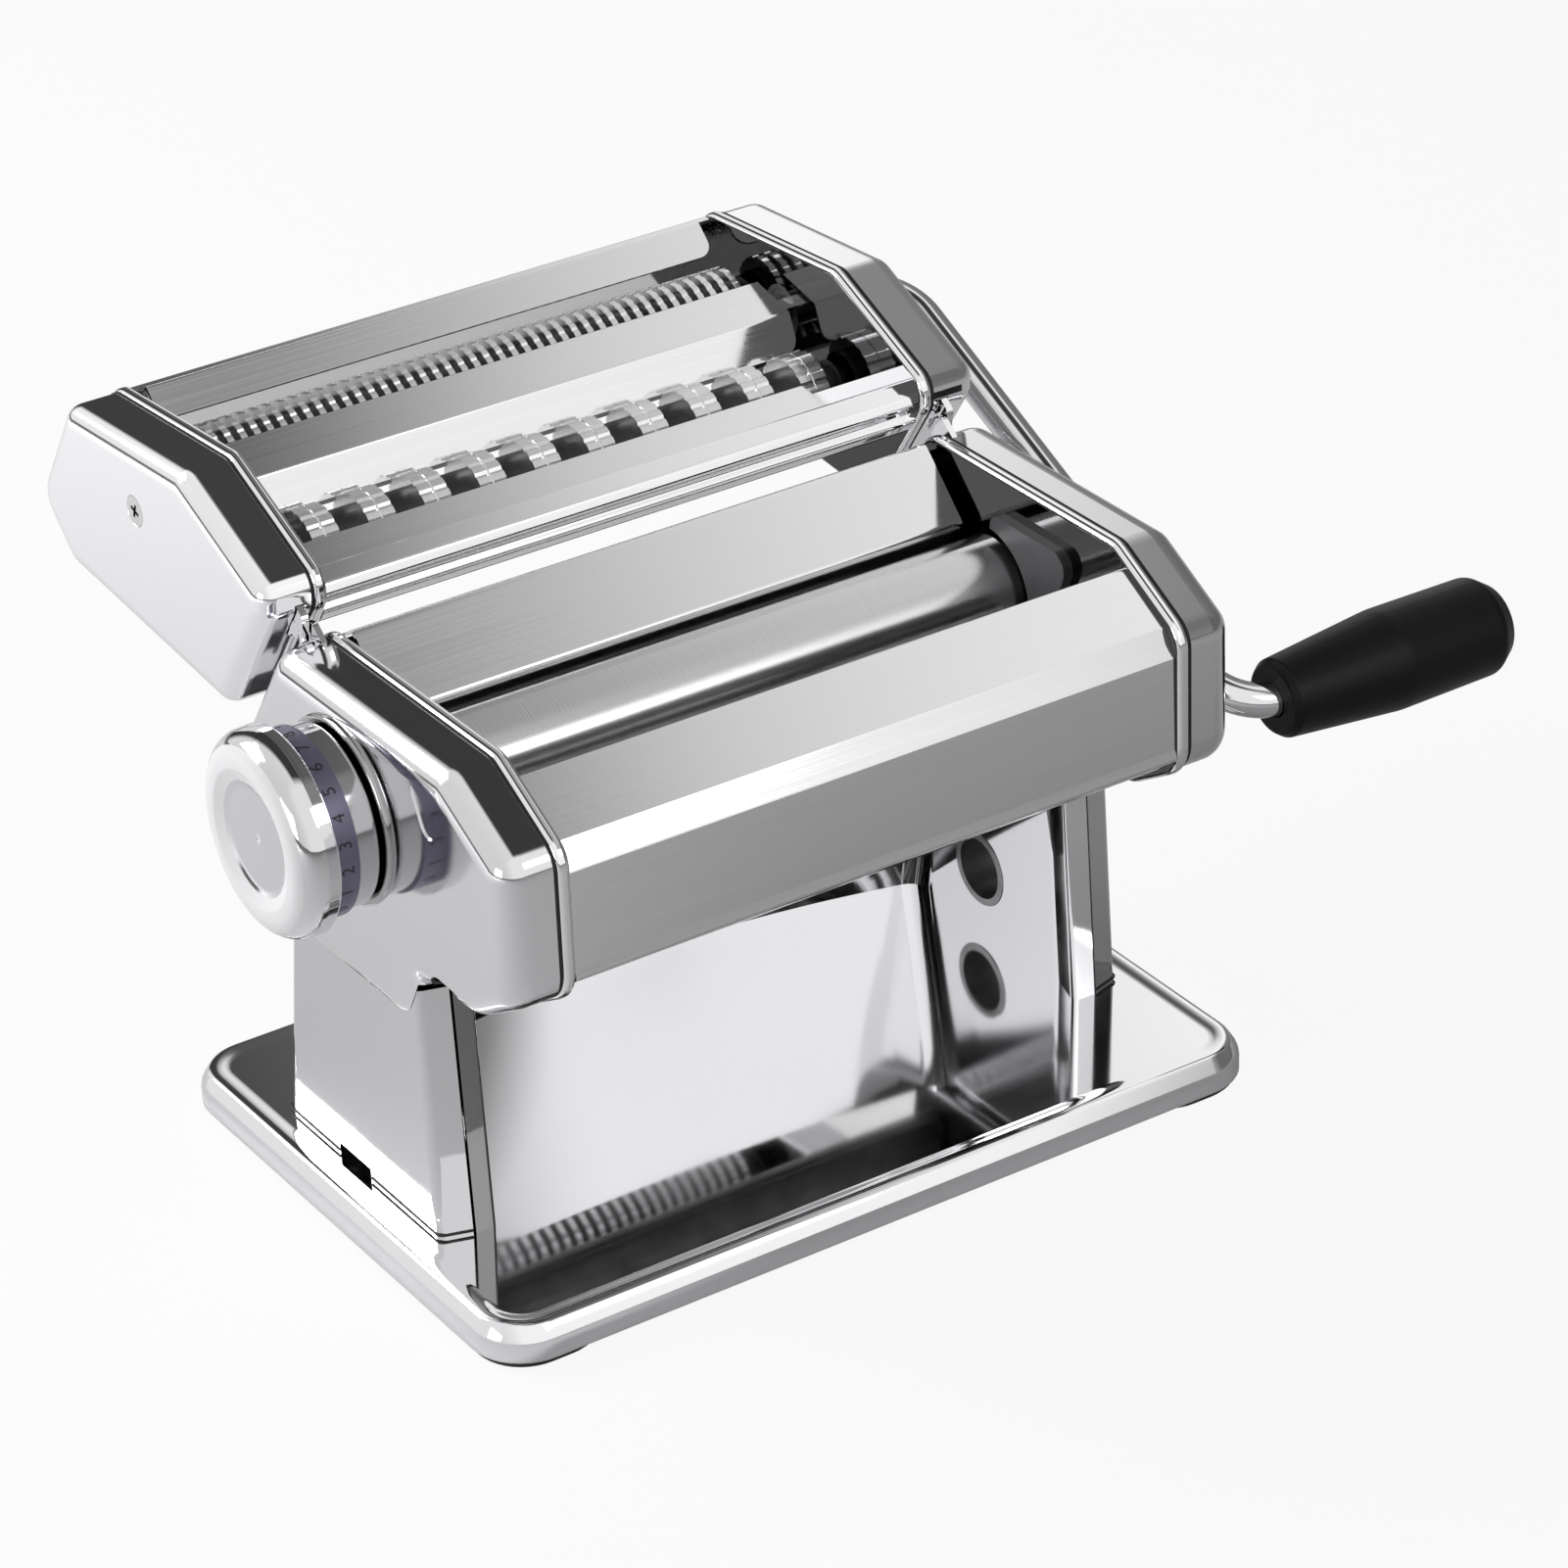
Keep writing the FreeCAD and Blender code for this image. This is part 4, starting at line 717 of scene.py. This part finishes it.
def sheet_piece(name, sheets, look, body, stands_for):
    """One piece from folded sheets, each a path, a half length and the rounding of its first corners."""
    work = bmesh.new()
    for path, half_length, end_round in sheets:
        add_sheet(work, path, -SHEET, half_length, end_round)
    finished_piece(name, work, look, body, "brushed_sheet", stands_for)


sheet_piece("front_cover", [([(-62.0, 87.0, 0), (-67.0, 87.2, 1.2), (-69.5, 89.4, 1.4), (-68.9, 91.9, 0.4),
                              (-68.7, 113.8, 1.0), (-65.3, 119.9, 0.8), (-49.6, 128.6, 1.4), (-49.2, 125.5, 0)],
                             FRAME_GAP, 0.0)],
            satin_sheet("front_cover_satin", 0.86, 0.10), "base", "front_panel")


# ---- Dough rollers ----------------------------------------------------------------------------
# Two smooth steel rollers, turned on a lathe and polished, so very fine rings run round them.

turned_rings, given, out = effect("turned_rings", {"Centre": (0.0, 0.0, 0.0), "Fineness": 3000.0}, ["Line"])
surface = node(turned_rings, "ShaderNodeTexCoord").outputs["Object"]
offset = node(turned_rings, "ShaderNodeVectorMath", {0: surface, 1: given.outputs["Centre"]},
              operation="SUBTRACT").outputs[0]
across = node(turned_rings, "ShaderNodeVectorMath", {0: offset, 1: (0, 1, 1)}, operation="MULTIPLY").outputs[0]
reach = node(turned_rings, "ShaderNodeVectorMath", {0: across}, operation="LENGTH").outputs["Value"]
along = node(turned_rings, "ShaderNodeSeparateXYZ", {0: offset}).outputs["X"]
cut = node(turned_rings, "ShaderNodeMath", {0: reach, 1: along}, operation="ADD").outputs[0]
fine = node(turned_rings, "ShaderNodeMath", {0: cut, 1: given.outputs["Fineness"]}, operation="MULTIPLY")
rings = node(turned_rings, "ShaderNodeTexNoise", {"W": fine.outputs[0], "Scale": 1.0, "Detail": 2.0},
             noise_dimensions="1D")
turned_rings.links.new(rings.outputs["Fac"], out.inputs["Line"])


def centre_of(name):
    """The middle of a CAD node's box."""
    low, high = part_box(name)
    return (low + high) / 2


def turned_metal(name, centre, tone, roughness):
    """Metal from the lathe: rings round the X axis through centre."""
    look, tree, shader = finish(name, (tone, tone, tone * 1.01), 1.0, roughness)
    line = placed(tree, turned_rings, Centre=tuple(centre), Fineness=3000.0)["Line"]
    grained(tree, shader, line, roughness, 0.006 * MM)
    return look


for roller in ("fixed_roller", "adjustable_roller"):
    dress(turned_metal(roller + "_steel", centre_of(roller), 0.72, 0.2), roller)


# ---- Thickness dial ---------------------------------------------------------------------------
# A pale satin cap with a dished middle, a lilac ring with dark numbers and a chromed collar.

dial_centre = centre_of("number_ring")
dress(mirror_chrome("collar_chrome", 0.55, 0.08, 0.05, 0.0)[0], "dial_collar")

CAP_EDGE = -112.2 * MM
cap_look, cap_tree, cap_shader = finish("cap_satin", (0.72, 0.72, 0.73), 0.0, 0.3)
band = node(cap_tree, "ShaderNodeMath", {0: place_along_x(cap_tree), 1: CAP_EDGE},
            operation="GREATER_THAN").outputs[0]
cap_tree.links.new(band, cap_shader.inputs["Metallic"])
cap_line = placed(cap_tree, turned_rings, Centre=tuple(dial_centre), Fineness=1500.0)["Line"]
cap_rough = node(cap_tree, "ShaderNodeMapRange", {"Value": band, "To Min": 0.3, "To Max": 0.06}).outputs["Result"]
cap_tree.links.new(cap_rough, cap_shader.inputs["Roughness"])
raised(cap_tree, cap_shader, cap_line, 0.004 * MM)
dress(cap_look, "dial_knob")

NUMBER_STEP = math.radians(16.2)
FIRST_NUMBER = math.radians(-37.0)
NUMBER_HEIGHT = 2.9 * MM
NUMBER_PROUD = 0.05 * MM
dress(moulded("lilac_ring", (0.15, 0.14, 0.21), (0.20, 0.19, 0.27), 0.38, 400.0, 0.004 * MM, 0.5), "number_ring")
number_ink = moulded("number_ink", (0.008, 0.008, 0.012), (0.02, 0.02, 0.03), 0.5, 900.0, 0.004 * MM)
ring_low, ring_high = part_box("number_ring")
ring_radius = (ring_high.z - ring_low.z) / 2
ring_middle = (ring_low.x + ring_high.x) / 2
for number in range(10):
    writing = bpy.data.curves.new("writing", "FONT")
    writing.body = str(number)
    writing.size = NUMBER_HEIGHT * 1.4
    writing.align_x = "CENTER"
    writing.align_y = "CENTER"
    writing.extrude = NUMBER_PROUD
    drawn = bpy.data.objects.new("writing", writing)
    scene.collection.objects.link(drawn)
    bpy.context.view_layer.update()
    mesh = bpy.data.meshes.new_from_object(drawn.evaluated_get(bpy.context.evaluated_depsgraph_get()))
    bpy.data.objects.remove(drawn)
    angle = FIRST_NUMBER + number * NUMBER_STEP
    for vertex in mesh.vertices:
        right, up, out_of_ring = vertex.co
        here = angle + right / ring_radius
        radius = ring_radius + out_of_ring
        vertex.co = (ring_middle - up, dial_centre.y - radius * math.cos(here),
                     dial_centre.z + radius * math.sin(here))
    mesh.materials.clear()
    mesh.materials.append(number_ink)
    ready_piece("dial_number_%d" % number, mesh, "dial", "number_band")


# ---- Cutter -----------------------------------------------------------------------------------
# The double cutter hangs on the back of the head in casings like the head's own. A folded bar
# with three ridges closes its front.

dress(mirror_chrome("cutter_chrome", 0.92, 0.07, 0.05, 0.12 * MM, 16.0, crown=0.15)[0], "cutter_right_casing",
      "cutter_left_casing")
dress(mirror_chrome("bar_chrome", 0.90, 0.07, 0.05, 0.0)[0], "cutter_front_bar")

CUTTER_EDGE = [(47.0, 107.3, 0), (45.5, 107.1, 0.4), (25.0, 136.5, 4.8), (24.8, 142.8, 4.8), (58.7, 157.6, 6),
               (111.0, 154.0, 6), (129.0, 126.5, 8), (116.0, 114.1, 0)]
joint_lines("cutter_casing_joints", CUTTER_EDGE, "cutter")

GUIDE_HALF = 72.0
GUIDE_ROUND = 3.5
sheet_piece("middle_guide",
            [([(68.0, 136.0, 0), (71.5, 144.6, 1.2), (84.4, 147.4, 0)], GUIDE_HALF, GUIDE_ROUND),
             ([(73.77, 144.23, 0), (77.57, 145.05, 0)], FRAME_GAP, 0.0)],
            satin_sheet("middle_satin", 0.90, 0.10), "cutter", "cutter_middle_plate")
sheet_piece("back_guide",
            [([(102.6, 148.0, 0), (108.6, 153.6, 0.6), (110.4, 153.45, 0)], GUIDE_HALF, GUIDE_ROUND),
             ([(108.9, 153.6, 0), (112.0, 153.3, 3.0), (127.6, 129.2, 0)], FRAME_GAP, 0.0)],
            satin_sheet("back_satin", 0.90, 0.10), "cutter", "cutter_back_plate")

SCREW_HEAD = 3.5
SCREW_SHANK = 1.8
HEAD_DEEP = 2.2
RECESS = (1.6, 1.7, 0.42)
screw_low, screw_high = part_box("cutter_end_screw")
screw_middle = (screw_low + screw_high) / 2
shank_long = screw_high.x - screw_low.x - HEAD_DEEP * MM
head = bmesh.new()
add_rod(head, (screw_low.x + HEAD_DEEP / 2 * MM, screw_middle.y, screw_middle.z), (SCREW_HEAD * MM, SCREW_SHANK * MM),
        HEAD_DEEP * MM, 48)
cross = bmesh.new()
for turn in (20, 110):
    bmesh.ops.create_cube(cross, size=2 * MM, matrix=Matrix.Translation((screw_low.x, screw_middle.y, screw_middle.z))
                          @ Matrix.Rotation(math.radians(turn), 4, "X") @ Matrix.Diagonal((*RECESS, 1)))
# Painted shade: the walls of the cross recess are near-black steel, for the shade inside it.
recessed = less("end_screw", (head, cross), (drawn_steel("screw_steel", 0.7, 0.15),
                                             drawn_steel("recess_shade_steel", 0.05, 0.5)))
screw = bmesh.new()
screw.from_mesh(recessed)
add_rod(screw, (screw_high.x - shank_long / 2, screw_middle.y, screw_middle.z), (SCREW_SHANK * MM, SCREW_SHANK * MM),
        shank_long, 24)
screw.to_mesh(recessed)
screw.free()
ready_piece("end_screw", recessed, "cutter", "bright_steel", "cutter_end_screw")


# ---- Cutter rollers ---------------------------------------------------------------------------
# Four turned steel cores with square-edged rings that stand in each other's grooves. The rings are
# fluted so that they pull the dough; the wide ones have a groove round the middle as well.

roller_tree = bpy.data.node_groups.new("ringed_roller", "GeometryNodeTree")
LENGTHS = ("Ring Radius", "Core Radius", "Journal Radius", "Flute Depth", "Band Width", "Band Step", "Pitch",
           "First Ring", "Core Half", "Journal Start", "Journal End")
for socket in LENGTHS:
    roller_tree.interface.new_socket(socket, in_out="INPUT", socket_type="NodeSocketFloat")
for socket in ("Rings", "Bands", "Flutes"):
    roller_tree.interface.new_socket(socket, in_out="INPUT", socket_type="NodeSocketInt")
roller_tree.interface.new_socket("Centre", in_out="INPUT", socket_type="NodeSocketVector")
for socket in ("Ring Metal", "Core Metal"):
    roller_tree.interface.new_socket(socket, in_out="INPUT", socket_type="NodeSocketMaterial")
roller_tree.interface.new_socket("Geometry", in_out="OUTPUT", socket_type="NodeSocketGeometry")
given = roller_tree.nodes.new("NodeGroupInput").outputs


def worked_out(first, operation, second, third=0.0):
    """A number of the roller tree."""
    return node(roller_tree, "ShaderNodeMath", {0: first, 1: second, 2: third}, operation=operation).outputs[0]


def upright(height):
    """A vector straight up; rollers are built upright and laid down at the end."""
    return node(roller_tree, "ShaderNodeCombineXYZ", {"Z": height}).outputs[0]


def repeated(shape, count, start, step):
    """Copies of a shape along the roller."""
    places = node(roller_tree, "GeometryNodeMeshLine", {"Count": count, "Start Location": upright(start),
                                                        "Offset": upright(step)}, mode="OFFSET")
    return node(roller_tree, "GeometryNodeInstanceOnPoints", {"Points": places.outputs["Mesh"],
                                                              "Instance": shape}).outputs["Instances"]


def turned(sides, radius, length):
    """A plain cylinder."""
    return node(roller_tree, "GeometryNodeMeshCylinder", {"Vertices": sides, "Radius": radius,
                                                          "Depth": length}).outputs["Mesh"]


band = turned(worked_out(given["Flutes"], "MULTIPLY", 4), given["Ring Radius"], given["Band Width"])
corner = node(roller_tree, "GeometryNodeInputIndex").outputs[0]
in_flute = worked_out(worked_out(corner, "MODULO", 4), "LESS_THAN", 0.5)
shrunk = worked_out(1.0, "SUBTRACT", worked_out(given["Flute Depth"], "DIVIDE", given["Ring Radius"]))
inwards = node(roller_tree, "ShaderNodeCombineXYZ", {"X": shrunk, "Y": shrunk, "Z": 1.0}).outputs[0]
flute = node(roller_tree, "ShaderNodeVectorMath",
             {0: node(roller_tree, "GeometryNodeInputPosition").outputs[0], 1: inwards}, operation="MULTIPLY")
fluted = node(roller_tree, "GeometryNodeSetPosition", {"Geometry": band, "Selection": in_flute,
                                                       "Position": flute.outputs[0]}).outputs[0]
first_band = worked_out(given["Band Step"], "MULTIPLY", worked_out(given["Bands"], "MULTIPLY_ADD", -0.5, 0.5))
bands = repeated(fluted, given["Bands"], first_band, given["Band Step"])
drum_length = worked_out(given["Band Step"], "MULTIPLY", given["Bands"])
drum = turned(40, worked_out(given["Ring Radius"], "SUBTRACT", worked_out(given["Flute Depth"], "MULTIPLY", 1.1)),
              worked_out(drum_length, "MULTIPLY", 0.94))
one_ring = node(roller_tree, "GeometryNodeJoinGeometry")
for shape in (bands, drum):
    roller_tree.links.new(shape, one_ring.inputs[0])
all_rings = repeated(one_ring.outputs[0], given["Rings"], given["First Ring"], given["Pitch"])
core = turned(48, given["Core Radius"], worked_out(given["Core Half"], "MULTIPLY", 2))
journal_length = worked_out(given["Journal End"], "SUBTRACT", given["Journal Start"])
journal_middle = worked_out(worked_out(given["Journal End"], "ADD", given["Journal Start"]), "MULTIPLY", 0.5)
journal = node(roller_tree, "GeometryNodeTransform", {
    "Geometry": turned(32, given["Journal Radius"], journal_length), "Translation": upright(journal_middle)})
dark_core = node(roller_tree, "GeometryNodeJoinGeometry")
for shape in (core, journal.outputs[0]):
    roller_tree.links.new(shape, dark_core.inputs[0])
whole = node(roller_tree, "GeometryNodeJoinGeometry")
for shape, metal in ((all_rings, "Ring Metal"), (dark_core.outputs[0], "Core Metal")):
    laid = node(roller_tree, "GeometryNodeTransform", {"Geometry": shape, "Translation": given["Centre"],
                                                       "Rotation": (0, math.pi / 2, 0)}).outputs[0]
    real = node(roller_tree, "GeometryNodeRealizeInstances", {0: laid}).outputs[0]
    dressed = node(roller_tree, "GeometryNodeSetMaterial", {"Geometry": real, "Material": given[metal]}).outputs[0]
    roller_tree.links.new(dressed, whole.inputs[0])
node(roller_tree, "NodeGroupOutput", {"Geometry": whole.outputs[0]})

RING_TIP = 9.3 * MM
CORE = 6.5 * MM
JOURNAL = 4.0 * MM
CORE_HALF = 72.5 * MM
JOURNAL_START = -79.6 * MM
WIDE = {"Pitch": 14.0 * MM, "Rings": 10, "Bands": 2, "Flutes": 20, "Band Width": 3.2 * MM, "Band Step": 3.6 * MM,
        "Flute Depth": 0.45 * MM, "Journal End": 84.4 * MM}
FINE = {"Pitch": 3.3 * MM, "Rings": 43, "Bands": 1, "Flutes": 24, "Band Width": 1.55 * MM, "Band Step": 1.55 * MM,
        "Flute Depth": 0.3 * MM, "Journal End": 81.2 * MM}
# Painted shade: the cores and journals are near-black steel, for the shade deep in the grooves between the rings.
groove_shade_metal = drawn_steel("groove_shade_steel", 0.06, 0.4)
for roller, rings, shift in (("fine_front", FINE, 0.25), ("fine_rear", FINE, -0.25), ("wide_front", WIDE, 0.25),
                             ("wide_rear", WIDE, -0.25)):
    stood_for = roller.replace("_", "_cutter_")
    low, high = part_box(stood_for)
    values = dict(rings)
    values.update({"Ring Radius": RING_TIP, "Core Radius": CORE, "Journal Radius": JOURNAL, "Core Half": CORE_HALF,
                   "Journal Start": JOURNAL_START, "Centre": (0, (low.y + high.y) / 2, (low.z + high.z) / 2),
                   "First Ring": (shift - (rings["Rings"] - 1) / 2) * rings["Pitch"],
                   "Ring Metal": turned_metal(roller + "_metal", centre_of(stood_for), 0.86, 0.22),
                   "Core Metal": groove_shade_metal})
    blank = bpy.data.objects.new("blank", bpy.data.meshes.new("blank"))
    scene.collection.objects.link(blank)
    maker = blank.modifiers.new("rings", "NODES")
    maker.node_group = roller_tree
    for socket in roller_tree.interface.items_tree:
        if socket.in_out == "INPUT":
            maker[socket.identifier] = values[socket.name]
    bpy.context.view_layer.update()
    mesh = bpy.data.meshes.new_from_object(blank.evaluated_get(bpy.context.evaluated_depsgraph_get()))
    bpy.data.objects.remove(blank)
    ready_piece(roller + "_cutting_rings", mesh, roller, "cutter_metal", stood_for)


# ---- Crank ------------------------------------------------------------------------------------
# A chromed steel rod bent twice. Its grip is moulded in black plastic with a satin skin.

dress(mirror_chrome("rod_chrome", 0.78, 0.06, 0.04, 0.0)[0], "crank_rod")
dress(moulded("grip_black", (0.004, 0.004, 0.005), (0.008, 0.008, 0.009), 0.38, 1400.0, 0.012 * MM,
              Specular_IOR_Level=0.2), "crank_grip")
